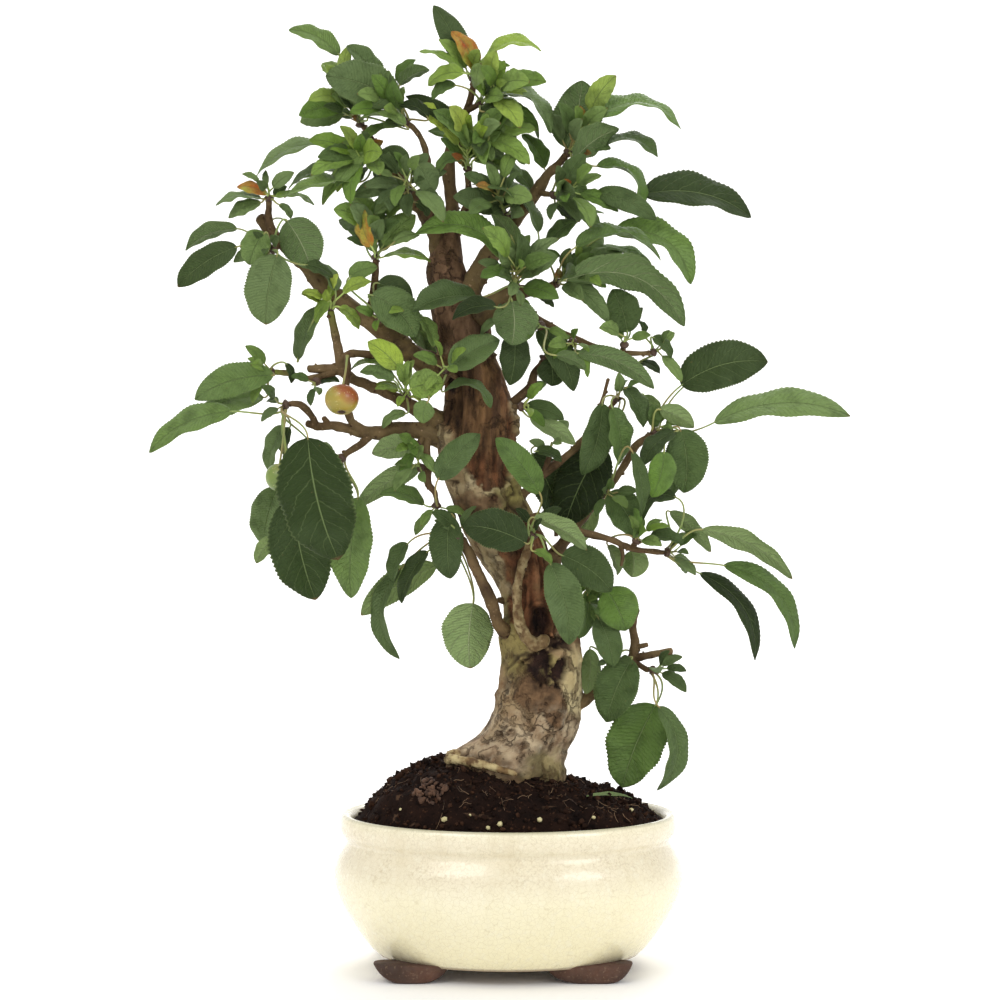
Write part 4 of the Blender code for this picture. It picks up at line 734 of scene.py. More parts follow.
BRANCHES = {
    "leader_left": [(-25.5, 362, 0, 4.4), (-24.2, 372, 0, 4.0), (-24, 380, 0, 3.5), (-25, 408, 0, 2.7),
        (-16, 430, -2, 1.8), (-13.5, 440, -2, 1.5)],
    "leader_right": [(-20, 332, -3, 7.5), (-12, 346, -4, 5.6), (5, 372, -4, 4.0), (18, 388, -4, 3.2),
        (24, 397, -4, 2.4), (31, 404, -4, 1.7)],
    "upper_left": [(-29, 352, 0, 5.0), (-33, 370, 0, 4.0), (-38, 378, 0, 3.7), (-45, 387, 2, 3.5),
        (-55, 402, 4, 3.2)],
    "upper_left_twig": [(-50, 395, 3, 1.6), (-60, 409, 6, 1.5), (-67, 419, 6, 1.2)],
    "upper_mid_twig": [(-34, 372, -2, 2.2), (-36, 388, -5, 1.9), (-36, 403, -6, 1.7), (-39, 414, -6, 1.5),
        (-43, 420, -6, 1.4)],
    "upper_fork_twig": [(-22, 372, -1, 2.2), (-16, 382, -4, 1.8), (-16, 395, -5, 1.5)],
    "left_high": [(-26, 296, -1, 8.0), (-44, 308, -4, 5.2), (-51, 314, -4, 4.8), (-84, 338, -4, 4.2),
        (-95, 350, -3, 3.9), (-103, 358, -2, 3.7), (-112, 366, -2, 3.0), (-119, 375, -2, 2.8)],
    "left_high_twig": [(-111, 364, -3, 2.2), (-115, 374, -5, 1.9), (-115, 381, -5, 1.6)],
    "left_high_shoot": [(-66, 325, -4, 2.4), (-63, 338, -4, 2.0), (-62, 352, -5, 1.6)],
    "left_mid": [(-26, 271, -2, 6.5), (-43, 281, -5, 3.3), (-58, 289, -7, 2.8), (-73, 295, -8, 2.6),
        (-81, 299.5, -8, 2.4), (-95, 300.5, -8, 2.0)],
    "left_mid_up": [(-80, 299, -8, 2.4), (-80, 306, -8, 2.3), (-82, 316, -8, 2.2), (-84, 326, -8, 1.8)],
    "left_mid_side": [(-79.5, 306, -8, 2.0), (-73, 308, -9, 2.0), (-63, 307, -9, 1.8)],
    "left_mid_young": [(-81, 299, -9, 1.7), (-92, 296, -10, 1.6), (-98, 295.5, -10, 1.6),
        (-105, 298, -10, 1.5), (-110, 298.5, -10, 1.3)],
    "left_low": [(-26, 266, -2, 7.5), (-38, 269, -5, 4.8), (-50, 270, -8, 4.0), (-60, 268.5, -10, 3.6),
        (-67, 268.5, -11, 3.2), (-76, 270.5, -12, 2.5), (-84, 272, -12, 2.2), (-90, 271.5, -12, 2.1),
        (-96, 273, -12, 1.8)],
    "left_low_up": [(-68, 269, -11, 2.8), (-74, 274, -15, 2.2), (-77, 284, -16, 1.9),
        (-76.5, 298, -16, 1.8), (-76, 308, -16, 1.5)],
    "left_low_spur": [(-92, 272, -12, 2.0), (-94, 277, -13, 1.8), (-99, 282, -14, 1.8),
        (-103, 283, -14, 1.5)],
    "left_low_fork": [(-65, 267.5, -11, 2.6), (-69, 263, -13, 2.0), (-76, 258.5, -14, 1.6)],
    "left_low_stub": [(-85, 272, -12, 1.8), (-88, 275.6, -12, 1.4)],
    "hanging": [(-35, 268, -5, 2.6), (-37, 262, -9, 2.2), (-36, 250, -11, 1.9), (-36, 243, -11, 1.7),
        (-33, 239, -12, 1.5), (-32, 236, -12, 1.3)],
    "sucker": [(6, 166, -6, 4.0), (0, 172, -12, 3.2), (-4, 183, -15, 2.9), (-10, 196, -17, 2.7),
        (-14, 205, -18, 2.6), (-18, 213, -18, 2.2)],
    "bud_stub": [(6, 184, -4, 2.4), (-0.6, 184.6, -6, 1.5)],
    "right_short": [(3, 278, -2, 3.6), (7, 284, -3, 2.4), (15, 291, -5, 2.3), (17, 298, -6, 1.9),
        (20, 302, -6, 1.5)],
    "hub": [(-12, 326, -4, 6.5), (-2, 333, -6, 5.0), (6, 338, -8, 4.2), (14, 339, -9, 3.2),
        (24, 341, -9, 2.2)],
    "right_long": [(-2, 331, -4, 4.0), (6, 333, -4, 3.2), (16, 326.5, -4, 2.4), (22, 323, -4, 2.0),
        (36, 316, -5, 1.7), (52, 309.5, -6, 1.5), (62, 308, -6, 1.4), (73, 308, -6, 1.2)],
    "right_fine": [(4, 228, 0, 6.0), (11, 237, -2, 2.8), (14, 240, -3, 2.3), (22, 248, -4, 2.1),
        (31, 255, -5, 1.9), (38, 261, -5, 1.8), (48, 272, -1, 1.6), (56, 282, 0, 1.4)],
    "right_fine_spur": [(22, 248, -4, 1.5), (24.5, 256, -7, 1.2)],
    "right_fine_stalk": [(48, 272, -1, 1.4), (51, 284, -3, 1.0), (54, 295, -4, 0.9)],
    "right_up": [(26, 204, 2, 5.0), (33, 215, 3, 2.8), (46, 232, 3, 2.4), (60, 249, 2, 2.0),
        (68, 262, 1, 1.9), (74, 266, 0, 1.7)],
    "right_out": [(12, 223, -4, 4.0), (20, 226, -8, 2.4), (25, 223, -9, 2.0), (34, 221, -9, 1.9),
        (40, 219, -9, 1.8), (55, 215, -10, 1.7), (62, 212, -10, 1.6), (68, 210, -10, 1.5),
        (80, 208.5, -10, 1.3)],
    "right_out_drop": [(60, 212.6, -10, 1.2), (61.5, 207, -10, 0.9), (60.6, 202, -10, 0.8)],
    "right_out_peg": [(28, 216.5, -9, 1.1), (28, 225, -9, 1.1)],
    "right_low": [(36, 131, 0, 4.0), (46, 137, 0, 2.7), (58, 150, 2, 2.4), (66, 155.5, 2, 2.4),
        (67.5, 164, 2, 2.3), (66.5, 172, 2, 1.9), (68.5, 179.5, 2, 1.6)],
    "right_low_side": [(66, 155.5, 2, 2.2), (72, 156.5, 1, 1.9), (85.5, 159, 0, 1.8)],
    "right_low_twig": [(66, 154.5, 2, 1.7), (73, 150, 0, 1.2)],
    "right_low_bud": [(67, 161, 2, 1.4), (73.5, 162, 0, 1.3)],
    "hook": [(15, 213, -20, 1.9), (12, 205, -19.5, 2.1), (9, 193, -18.5, 2.2), (8.5, 181, -19, 2.4),
        (11, 170, -20, 2.8), (17, 162.5, -19, 3.2), (23, 165, -18.5, 2.8)],
    "surface_root": [(-16, 106, -8, 4.5), (-25, 105, -13, 3.0), (-17, 103.5, -20, 2.3),
        (-8, 101.5, -24, 2.1), (2, 98.8, -27, 1.6), (8, 97, -29, 1.0)],
    "snag": [(37, 162, -6, 3.0), (39.4, 154, -8, 2.2)],
}
print("rings of the trunk", len(TRUNK_RINGS), "branches", len(BRANCHES))

# %% [markdown]
# Each spray is a shoot end with its leaves. A leaf is its base and tip on the picture plane, the
# width as seen, how it is turned, the arch of its midrib, its tone and its depth.

# %% Table of the sprays
# name, leaf tone, root and start of the shoot, and the leaves: base, tip, width, kind of turn, arch,
# tone from 0 old to 2 new and 3 red, depth
SPRAYS = [
    ("spray_top_left", 0, (-43, 420, -6), (-45, 421.5, -6.5), [
        (-80, 456, -105, 469, 9, "o", 2, 1, 8), (-51, 433, -87, 446, 22, "f", 2, 0, -10),
        (-60, 441, -76, 461, 10, "o", 1, 1, 6), (-50, 442, -42, 454, 8, "o", 1, 1, 0),
        (-50, 441, -35, 449, 8, "v", 1, 1, -8), (-36, 425, -50, 431, 8, "o", 2, 0, -16)]),
    ("spray_apex", 2, (-13.5, 440, -2), (-13.4, 442.5, -2), [
        (-17, 450, -33, 481, 13, "f", 1, 0, 0), (-13, 448, -24, 468, 9, "o", 2, 3, -6),
        (-18, 448, -40, 458.5, 7, "e", 1, 2, -12), (-18, 447, -36, 441, 9, "o", 2, 2, -16),
        (-8, 449, 21, 458.5, 9, "e", 7, 2, -4), (-8, 444, 5, 451, 8, "o", 2, 2, -12)]),
    ("spray_apex_right", 1, (-17, 428, -2), (-11.5, 431, -7), [
        (-8, 433, 26, 417.5, 8, "e", 9, 1, -10), (-9, 430, 20, 415, 8, "e", 6, 0, 2),
        (-8, 428, 10, 421, 7, "v", 1, 1, -18), (-22, 441, -34, 434, 8, "o", 2, 2, -20),
        (-9, 436, 1, 442, 6, "o", 1, 0, -14)]),
    ("spray_upper_core", 0, (-23, 412, -1), (-16, 412.5, -7), [
        (-16, 414, -47, 436, 9, "f", 3, 0, -4), (-14, 411, -33, 429, 9, "o", 1, 1, -14),
        (-14, 409, -36, 419, 7, "o", 2, 1, -22), (-10, 418, 2, 425, 10, "f", 1, 0, -6),
        (-9, 417, 13, 402, 9, "o", 3, 1, -14), (-10, 408, 12, 396, 7, "e", 2, 1, -22)]),
    ("spray_upper_fork", 2, (-16, 395, -5), (-16, 397.4, -5), [
        (-13, 404, 4, 397, 7, "o", 2, 2, -8), (-19, 404, -31, 397, 8, "o", 3, 1, -12),
        (-17, 405, -8, 412, 6, "o", 1, 2, 8)]),
    ("spray_upper_right", 1, (31, 404, -4), (32.5, 406, -4), [
        (33, 410, 41, 443.5, 26, "u", 1, 1, -2), (37, 405, 59, 420, 20, "v", 1, 1, -16),
        (48, 425, 91, 420, 8, "e", 8, 1, -4), (50, 410, 79, 406, 7, "e", 5, 1, -24),
        (48, 401, 69, 377, 8, "e", 9, 1, -12), (22, 400, 11, 417, 11, "o", 1, 1, 6)]),
    ("spray_right_upper", 0, (18, 388, -4), (25, 387, -11), [
        (30, 394, 40, 378, 16, "f", 1, 1, -16), (28, 382, 37, 372, 9, "o", 1, 0, -10),
        (48, 388, 78, 374.5, 11, "f", 2, 0, -10), (71, 387, 126, 376.5, 16, "o", 4, 0, -18),
        (38, 373, 52, 378, 6, "e", 1, 2, -4)]),
    ("spray_leader_mid", 0, (5, 372, -4), (3, 376, -10), [
        (5, 381, -12, 390, 13, "f", 1, 0, -12), (4, 399, 16, 387, 8, "o", 2, 1, -16),
        (9, 358, -4, 378, 9, "v", 1, 1, -18)]),
    ("spray_right_mid", 1, (24, 341, -9), (26.5, 342, -10), [
        (57, 368, 96, 342.5, 13, "o", 9, 1, -12), (38, 361, 81, 355, 6, "e", 7, 2, -20),
        (42, 358, 76, 353, 4, "e", 2, 2, -2), (33, 345, 93, 322, 16, "v", 11, 1, -24),
        (23, 362, 38, 374, 12, "o", 1, 1, -12), (36, 342, 44, 335.5, 7, "o", 1, 0, -6),
        (19, 336, 27, 331, 5, "o", 1, 0, -4)]),
    ("spray_hub", 1, (7, 338, -8), (7.4, 340.9, -14.2), [
        (5, 353, -43, 368, 12, "o", 9, 1, -24), (19, 368, -14, 393, 8, "e", 6, 1, -15),
        (14, 348, 30, 357, 9, "o", 2, 1, -12), (-12, 336, -44, 329, 12, "o", 2, 0, -24),
        (-2, 331, -24, 325, 8, "o", 2, 0, -28)]),
    ("spray_hub_low", 1, (3, 336, -7), (3.4, 331.6, -12.2), [
        (6, 334, 6, 312, 23, "u", 1, 1, -30), (7, 319, 5, 292, 15, "f", 1, 0, -24)]),
    ("spray_right_twig_end", 0, (73, 308, -6), (74.6, 308.3, -6), [
        (76, 316, 86, 306, 8, "o", 1, 0, -8), (72, 318, 69, 324, 5, "o", 1, 0, -4),
        (70, 303.5, 80, 298, 7, "o", 1, 0, 0)]),
    ("spray_right_twig_mid", 0, (61, 308.2, -6), (61.5, 310.6, -7.5), [
        (63.5, 318.5, 56, 340, 18, "f", 1, 0, -8), (65, 319, 71, 331, 9, "o", 1, 0, -2)]),
    ("spray_right_twig_low", 1, (36, 316, -5), (36, 314.5, -8), [
        (39, 308, 77, 290.5, 11, "u", 4, 1, -10)]),
    ("spray_right_inner", 0, (20, 324.2, -4), (20, 322.6, -8), [
        (19, 320, 37, 289, 14, "f", 3, 0, -10), (28, 307, 43, 300, 6, "v", 1, 1, -14)]),
    ("spray_short_twig", 0, (20, 302, -6), (21, 303.8, -6.3), [
        (24, 306, 26, 291.5, 16, "f", 1, 0, -8)]),
    ("spray_trunk_top_right", 1, (2, 281, -4), (8.8, 281.3, -8), [
        (12, 280.5, 32, 275, 9, "f", 2, 1, -10), (15, 276, 38, 262.5, 9, "u", 1, 1, -12)]),
    ("spray_fine_end", 0, (56, 282, 0), (57, 283.6, -0.4), [
        (62, 291, 72, 271, 9, "o", 1, 1, -4), (51, 283, 41, 247, 15, "f", 2, 0, -12),
        (56, 281, 60, 252, 11, "o", 1, 1, -16), (51, 262, 32, 221.5, 28, "f", 1, 0, 10)]),
    ("spray_fine_spur", 0, (24.5, 256, -7), (24.8, 257.6, -7.8), [
        (16, 258, 31, 223, 18, "f", 1, 0, 4), (18, 259, 31, 254, 6, "o", 1, 0, -14)]),
    ("spray_right_cluster", 1, (74, 266, 0), (75.4, 267, 0), [
        (90, 270, 92, 238, 22, "f", 2, 1, -6), (88, 269, 71, 252, 9, "o", 2, 0, -14),
        (82, 259, 76, 236, 14, "f", 1, 2, -18), (88, 263, 84, 236, 10, "o", 1, 1, -24),
        (80, 280, 97, 271, 10, "u", 1, 2, -6), (72, 287, 78, 272, 9, "u", 1, 2, 4),
        (90.5, 292, 134, 304, 24, "f", 4, 0, 6), (107, 273.5, 175.5, 278, 14, "o", 5, 1, -4)]),
    ("spray_right_low_cluster", 1, (52, 239, 2), (53, 238, -2.5), [
        (55, 239, 69, 216, 18, "f", 1, 1, -8), (66, 259, 71, 226, 7, "o", 1, 1, -14),
        (48, 231, 38, 211, 12, "u", 1, 2, 10)]),
    ("spray_out_end", 1, (80, 208.5, -10), (81.6, 208.4, -10), [
        (112, 202, 149, 160, 10, "o", 9, 1, -10), (100, 198, 129, 154, 9, "o", 7, 0, 0),
        (101, 220, 147, 196, 10, "v", 3, 1, -16), (85, 229, 106, 209, 8, "v", 1, 1, -6),
        (88, 236, 71, 225, 7, "o", 6, 0, -22)]),
    ("spray_out_mid", 2, (66, 210.6, -10), (67.4, 213, -12), [
        (75, 216, 92, 213, 9, "o", 1, 0, -14), (54, 212, 59, 197, 7, "v", 1, 2, -4),
        (66, 209.5, 66, 196, 14, "u", 1, 2, -4)]),
    ("spray_front", 0, (15, 213, -20), (15.8, 215.3, -21), [
        (20, 238, -2, 266, 14, "f", 1, 1, -26), (13, 213, -19, 222, 21, "f", 2, 0, -28),
        (31, 207, 56, 189, 20, "f", 2, 0, -20), (25, 203, 35, 162, 18, "f", 2, 0, -26),
        (17, 226, 44, 210, 9, "v", 1, 1, -30), (17, 209, 26, 203, 5, "o", 1, 2, -32)]),
    ("spray_low_end", 1, (73, 150, 0), (74.6, 149.8, -0.6), [
        (78, 132, 61, 90, 30, "f", 1, 1, -4), (79.5, 131, 79.5, 88, 10, "o", 8, 1, -16)]),
    ("spray_low_mid", 0, (57, 149, 2), (57, 152.2, -2.5), [
        (66, 155, 53, 123, 22, "f", 1, 0, -10), (45, 160, 43, 137, 10, "u", 1, 1, -4),
        (49, 176, 57, 151, 14, "f", 1, 1, -8)]),
    ("spray_trunk_right", 2, (32, 182, -2), (38.6, 183, -5), [
        (53, 190, 63, 169, 21, "f", 1, 2, -8), (44, 189, 40, 165, 12, "o", 1, 1, -4)]),
    ("spray_sucker_end", 0, (-18, 213, -18), (-19, 214.6, -18.4), [
        (-25, 227, -25, 195, 17, "f", 1, 0, -16), (-46, 213, -54, 194, 8, "o", 1, 0, -22),
        (-36, 209, -50, 183, 8, "o", 1, 0, -20), (-50, 200, -51, 154.5, 8, "o", 8, 0, -26),
        (-32, 202, -70, 177, 15, "u", 2, 2, -8), (-13.5, 183, -15, 150, 26, "u", 1, 1, -26)]),
    ("spray_hanging_end", 1, (-32, 236, -12), (-31.8, 234, -12), [
        (-31, 245, -10, 268, 14, "f", 1, 1, -26), (-38, 232.5, -60, 238, 8, "o", 2, 1, -12)]),
    ("spray_hanging_mid", 1, (-36, 250, -11), (-38, 250.6, -13), [
        (-40, 251, -72, 231, 11, "u", 2, 2, -12)]),
    ("spray_low_near", 1, (-38, 267, -6), (-40.5, 263, -12), [
        (-43, 262, -64, 258, 12, "u", 1, 1, -16)]),
    ("spray_mid_near", 2, (-45, 282.4, -5), (-46, 286, -10), [
        (-55, 299, -75, 300, 6, "e", 3, 2, -12), (-53, 294.5, -70, 299, 7, "o", 1, 1, -20),
        (-50, 300, -66, 314, 12, "f", 1, 2, -14), (-45, 290, -28, 293, 15, "f", 1, 2, -22),
        (-36, 284, -38, 273, 11, "f", 1, 1, -26), (-47, 278, -59, 270.5, 5, "o", 2, 1, -16),
        (-47, 291, -43, 305, 5, "o", 1, 2, -16)]),
    ("spray_trunk_left", 1, (-22, 296, -8), (-26, 299, -17), [
        (-28, 289, -4, 281, 6, "e", 6, 1, -24), (-25, 301, 0, 315, 15, "f", 1, 1, -22)]),
    ("spray_left_high_near", 1, (-60, 320.5, -4), (-60, 324, -10), [
        (-64, 337, -42, 316, 20, "f", 3, 1, -16), (-61, 343, -45, 330, 15, "f", 2, 0, -6),
        (-51, 330, -36, 297, 12, "o", 4, 1, -24), (-75, 346, -61, 351, 9, "f", 1, 2, -8),
        (-40, 326, -33, 311, 9, "o", 1, 2, -14)]),
    ("spray_shoot", 2, (-84, 326, -8), (-84.4, 328.4, -8), [
        (-80, 331, -70, 320, 8, "o", 1, 2, -12), (-85, 334, -92, 323, 9, "o", 1, 2, -10),
        (-101, 305, -88, 334, 9, "o", 1, 0, -16), (-78, 338, -64, 344, 9, "o", 1, 2, -14),
        (-82, 339, -90, 352, 10, "o", 1, 1, -12)]),
    ("spray_young_end", 1, (-110, 298.5, -10), (-112, 298.6, -10), [
        (-113, 297, -153, 285, 16, "f", 3, 1, -12), (-107, 303, -104, 293, 4, "o", 1, 0, -16),
        (-118, 286, -152, 276, 12, "o", 2, 1, -6)]),
    ("spray_fruit_back", 0, (-90, 296.6, -10), (-91, 295, -12), [
        (-93, 293, -80, 294, 8, "o", 1, 0, -10)]),
    ("spray_low_end_left", 0, (-103, 283, -14), (-105, 282.8, -14.2), [
        (-134, 279, -176, 259, 12, "o", 3, 1, -12), (-108, 272, -116, 249, 8, "o", 1, 1, -8),
        (-105, 271, -107, 256, 9, "o", 1, 0, -4), (-96, 266, -81, 204, 37, "f", 2, 0, -24),
        (-111, 241, -118.5, 212, 18, "f", 1, 1, -14), (-104, 235, -92.5, 184, 30, "f", 1, 0, -12),
        (-113, 216, -122, 203, 8, "u", 1, 2, -18)]),
    ("spray_low_fork", 1, (-76, 258.5, -14), (-77.6, 257.2, -14.2), [
        (-71, 236, -75, 185, 21, "f", 1, 1, -6)]),
    ("spray_left_high_end", 1, (-115, 381, -5), (-115, 383, -5), [
        (-119, 385, -142, 382, 5, "e", 2, 1, -8), (-116, 387, -131, 391, 6, "o", 1, 3, -4),
        (-119, 383, -135.5, 375.5, 7, "o", 1, 2, -12), (-112, 386, -92, 382, 6, "e", 2, 2, -6),
        (-110, 382, -104, 375, 6, "o", 1, 1, -12)]),
    ("spray_left_high_low", 1, (-108, 362, -2), (-112.5, 360.5, -8), [
        (-131, 370, -157, 359.5, 8, "v", 2, 1, -6), (-117, 368, -125, 352, 15, "f", 1, 1, -14),
        (-131, 361, -161, 341, 14, "f", 2, 0, -14), (-111, 357, -117, 322, 24, "f", 1, 0, -20),
        (-106, 374, -94, 350, 22, "u", 1, 1, -16), (-97, 352, -83, 346, 9, "o", 1, 0, -8)]),
    ("spray_upper_left_end", 1, (-67, 419, 6), (-68.2, 420.5, 6), [
        (-71, 427, -82, 438, 9, "o", 1, 0, 2), (-66, 425, -75, 434, 7, "v", 1, 1, -4),
        (-58, 428, -48, 424, 7, "o", 1, 0, 8), (-47, 421, -70, 425, 6, "e", 2, 1, -18)]),
    ("spray_upper_left_mid", 1, (-59, 407.4, 5.8), (-62, 406, 1), [
        (-79, 410, -122, 397, 6, "e", 5, 1, 0), (-80, 399, -106, 390, 5, "e", 2, 0, 2),
        (-73, 393, -108, 386, 5, "e", 1, 2, -6), (-66, 408, -81, 398, 9, "f", 1, 2, -10),
        (-67, 403, -89, 382, 7, "o", 2, 1, -14), (-45, 404, -63, 402, 14, "f", 1, 0, -12)]),
    ("spray_upper_left_low", 0, (-45, 387, 2), (-45.5, 388.5, -5), [
        (-47, 391, -73, 386, 10, "f", 2, 1, -12), (-41, 402, -34, 387, 13, "f", 1, 0, -16),
        (-50, 383, -63, 377, 7, "o", 1, 1, -14), (-42, 383, -36, 376, 8, "o", 1, 0, -18)]),
    ("spray_left_high_shoot", 1, (-62, 352, -5), (-62, 354, -5.4), [
        (-67, 363, -74, 377, 9, "o", 1, 1, -8), (-64, 361, -69, 381, 8, "o", 1, 3, -14),
        (-58, 362, -42, 377, 13, "f", 1, 1, -10), (-53, 363, -40, 367, 7, "o", 1, 2, -18),
        (-58, 356, -34, 354, 6, "e", 2, 2, -12)]),
]
# degrees that a leaf is rolled about its midrib: faced, oblique, edgewise, under, underside oblique
KINDS = {"f": 14.0, "o": 48.0, "e": 74.0, "u": 166.0, "v": 132.0}
# millimetres in depth by which a plain leaf may have been moved clear of its neighbours
SHIFTS = [0, -4, 4, -8, 8, -12, 12, -16, 16, -20, 20, -25, 25, -30, 30, -36, 36]
# a leaf this wide has a smaller one behind it, moved back by one of these depths
BACK_FROM_WIDTH = 20.5
BACK_SHIFTS = [24, 30, 36, 42, 18, 48, 14]
BACK_SHARE = 0.86
# rise of a blade's margin over its midrib, as a share of the half width
FOLD = 0.32
FRUITS = [
    # name, centre, radius, height ratio, stalk top
    ("crabapple_ripe", (-79.0, 285.0, -28.5), 8.5, 0.9, (-76.2, 306.8, -18.3)),
    ("crabapple_green", (-110.4, 246.2, -18.0), 6.9, 1.04, (-107.0, 280.0, -16.4)),
]
print("sprays", len(SPRAYS), "leaves", sum(len(spray[4]) for spray in SPRAYS))

# %% [markdown]
# The bark keeps its masks in point values, so that one material can lay deadwood, callus, olive
# and grey bark over each other, each with its own grain.

# %% Bark of the trunk
def layer(tree, base, mask, light, dark, size_mm, stretch=(1, 1, 1), low=0.36, high=0.66):
    """Lays a two-toned cloud over the base where the mask of that name is high."""
    tone = blend(tree, patches(tree, size_mm, 6, low, high, stretch), dark, light)
    return blend(tree, attribute(tree, mask), base, tone)


BARK_LAYERS = [
    # mask, light and dark tone, size, stretch, and the two ends of the cloud
    ("olive", "#948A50", "#6C6238", 5),
    ("cream", "#CBBC92", "#AB9A70", 6, (1, 1, 2.5)),
    ("brown", "#765A3F", "#3A281A", 3.6),
    ("dead", "#80603F", "#1E120A", 4.4, (1, 1, 4), 0.36, 0.64),
    ("red", "#8A5C3E", "#4A2E1C", 3.0, (1, 1, 1.4)),
]


def bark_material():
    """Living bark in cream, olive and grey, bare wood with upright grain, cracks, painted shade in the
    hollow, recesses and grooves, and a painted highlight on the grain's crests.
    """
    material, tree, shader = new_material("apple_bark_and_deadwood")
    base = blend(tree, patches(tree, 17, 5, 0.36, 0.64), "#725C43", "#98825F")
    base = wash(tree, base, "#74563C", patches(tree, 8, 5, 0.56, 0.72, (1.6, 1.6, 0.7)))
    base = wash(tree, base, "#B6A887", patches(tree, 7, 4, 0.56, 0.74))
    base = layer(tree, base, "grey", "#BCAA8C", "#8C745A", 5)
    stain = times(tree, patches(tree, 9, 5, 0.57, 0.68), 0.6)
    base = wash(tree, base, "#755840", stain)
    for row in BARK_LAYERS:
        base = layer(tree, base, *row)
    # The crests of the grain are washed lighter, a painted highlight, and the low parts of the relief
    # darker, painted shade in the grooves.
    crest_highlight = times(tree, ramp(tree, attribute(tree, "ridge"), 0.5, 1.0), attribute(tree, "dead"))
    base = wash(tree, base, "#94704F", crest_highlight, 0.4)
    deep = times(tree, ramp(tree, attribute(tree, "ridge"), 0.4, 0.0), 0.55)
    base = wash(tree, base, "#1C110B", deep)
    base = layer(tree, base, "dark", "#32201A", "#120A07", 4)
    old = blend(tree, patches(tree, 3.4, 5, 0.36, 0.66, (1, 1, 4)), "#43301F", "#7E624A")
    base = blend(tree, attribute(tree, "old"), base, old)
    line = patches(tree, 4.2, 5, 0.43, 0.36, (1, 1, 2.2))
    base = wash(tree, base, "#45331F", line, 0.62)
    wander = maths(tree, "ABSOLUTE", maths(tree, "SUBTRACT", noise(tree, 9, 6), 0.5))
    seam = times(tree, ramp(tree, wander, 0.02, 0.0), patches(tree, 14, 2, 0.4, 0.6))
    base = wash(tree, base, "#4E3826", seam, 0.5)
    speck = patches(tree, 1.5, 4, 0.6, 0.7)
    base = wash(tree, base, "#4E3824", speck, 0.5)
    pale = times(tree, patches(tree, 4.5, 4, 0.56, 0.7), attribute(tree, "grey"))
    base = wash(tree, base, "#CFC5AA", pale, 0.4)
    paint(tree, shader, base, None, {"Roughness": 0.85, "Specular IOR Level": 0.2})
    grain = times(tree, noise(tree, 2.4, 5, (1, 1, 7)), attribute(tree, "dead"))
    height = plus(tree, times(tree, grain, 2.2), noise(tree, 2.2, 6))
    cracks = plus(tree, times(tree, line, 0.9), times(tree, seam, 1.2))
    raise_by(tree, shader, maths(tree, "SUBTRACT", height, cracks), 1.2, 1.0)
    return material


BARK = bark_material()
print(BARK.name, len(BARK.node_tree.nodes), "nodes")

# %% Bark of the branches
def twig_material():
    """Olive-brown twig bark, greener where young and cream where the wood is bare."""
    material, tree, shader = new_material("twig_bark")
    base = blend(tree, patches(tree, 6, 5, 0.35, 0.66), "#43321F", "#685239")
    thick = blend(tree, patches(tree, 5, 5, 0.35, 0.66), "#4A3B29", "#76623F")
    base = blend(tree, attribute(tree, "thick"), base, thick)
    base = wash(tree, base, "#7C6A48", patches(tree, 14, 3, 0.45, 0.62), 0.5)
    base = wash(tree, base, "#9A8060", patches(tree, 1.0, 2, 0.66, 0.76))
    base = wash(tree, base, "#38241A", patches(tree, 2.2, 3, 0.62, 0.72))
    base = wash(tree, base, "#7F8A3E", attribute(tree, "young"))
    bare = blend(tree, patches(tree, 4, 4, 0.4, 0.62), "#7E6542", "#C4B384")
    bare = wash(tree, bare, "#5E4830", patches(tree, 2.0, 5, 0.5, 0.36))
    base = blend(tree, attribute(tree, "bare"), base, bare)
    paint(tree, shader, base, None, {"Roughness": 0.75, "Specular IOR Level": 0.2})
    raise_by(tree, shader, noise(tree, 1.8, 6), 1.0, 1.0)
    return material


TWIG = twig_material()
print(TWIG.name, len(TWIG.node_tree.nodes), "nodes")

# %% [markdown]
# The trunk could be carved by hand, but then each scar would be hard to move. Here it is one sheet
# of rings. Its outline comes from the stack of ovals, and each scar, hollow, lip, knot and crack is
# a shape on the picture plane that pushes the sheet in or out along the ring's own direction.

# %% Shapes on the face of the trunk
def oval(u, w, cu, cw, ru, rw, ragged=0.16, seed=1.0, turn=0.0, cell=5.0):
    """Distance from an oval's middle in its own radii, turned by degrees, with a wandering border."""
    c, s = math.cos(math.radians(turn)), math.sin(math.radians(turn))
    du, dw = (u - cu) * c + (w - cw) * s, (w - cw) * c - (u - cu) * s
    wander = cloud(np.stack([u, w, 0 * u], -1), cell, 4, seed)
    return np.hypot(du / ru, dw / rw) + ragged * wander


def fill(distance, soft=0.13):
    """One inside the oval, zero outside, and a soft step between."""
    return smooth(1 + soft, 1 - soft, distance)


def groove(u, w, points, wide):
    """One on a line through the points, falling to zero at the half width given."""
    best = np.full(u.shape, 99.0)
    for (u0, w0), (u1, w1) in zip(points, points[1:]):
        length_squared = (u1 - u0) ** 2 + (w1 - w0) ** 2
        t = np.clip(((u - u0) * (u1 - u0) + (w - w0) * (w1 - w0)) / length_squared, 0, 1)
        best = np.minimum(best, np.hypot(u - u0 - t * (u1 - u0), w - w0 - t * (w1 - w0)))
    return smooth(wide, 0, best + 0.5 * lattice(np.stack([u, w, 0 * u], -1), 2.0, 4.0))


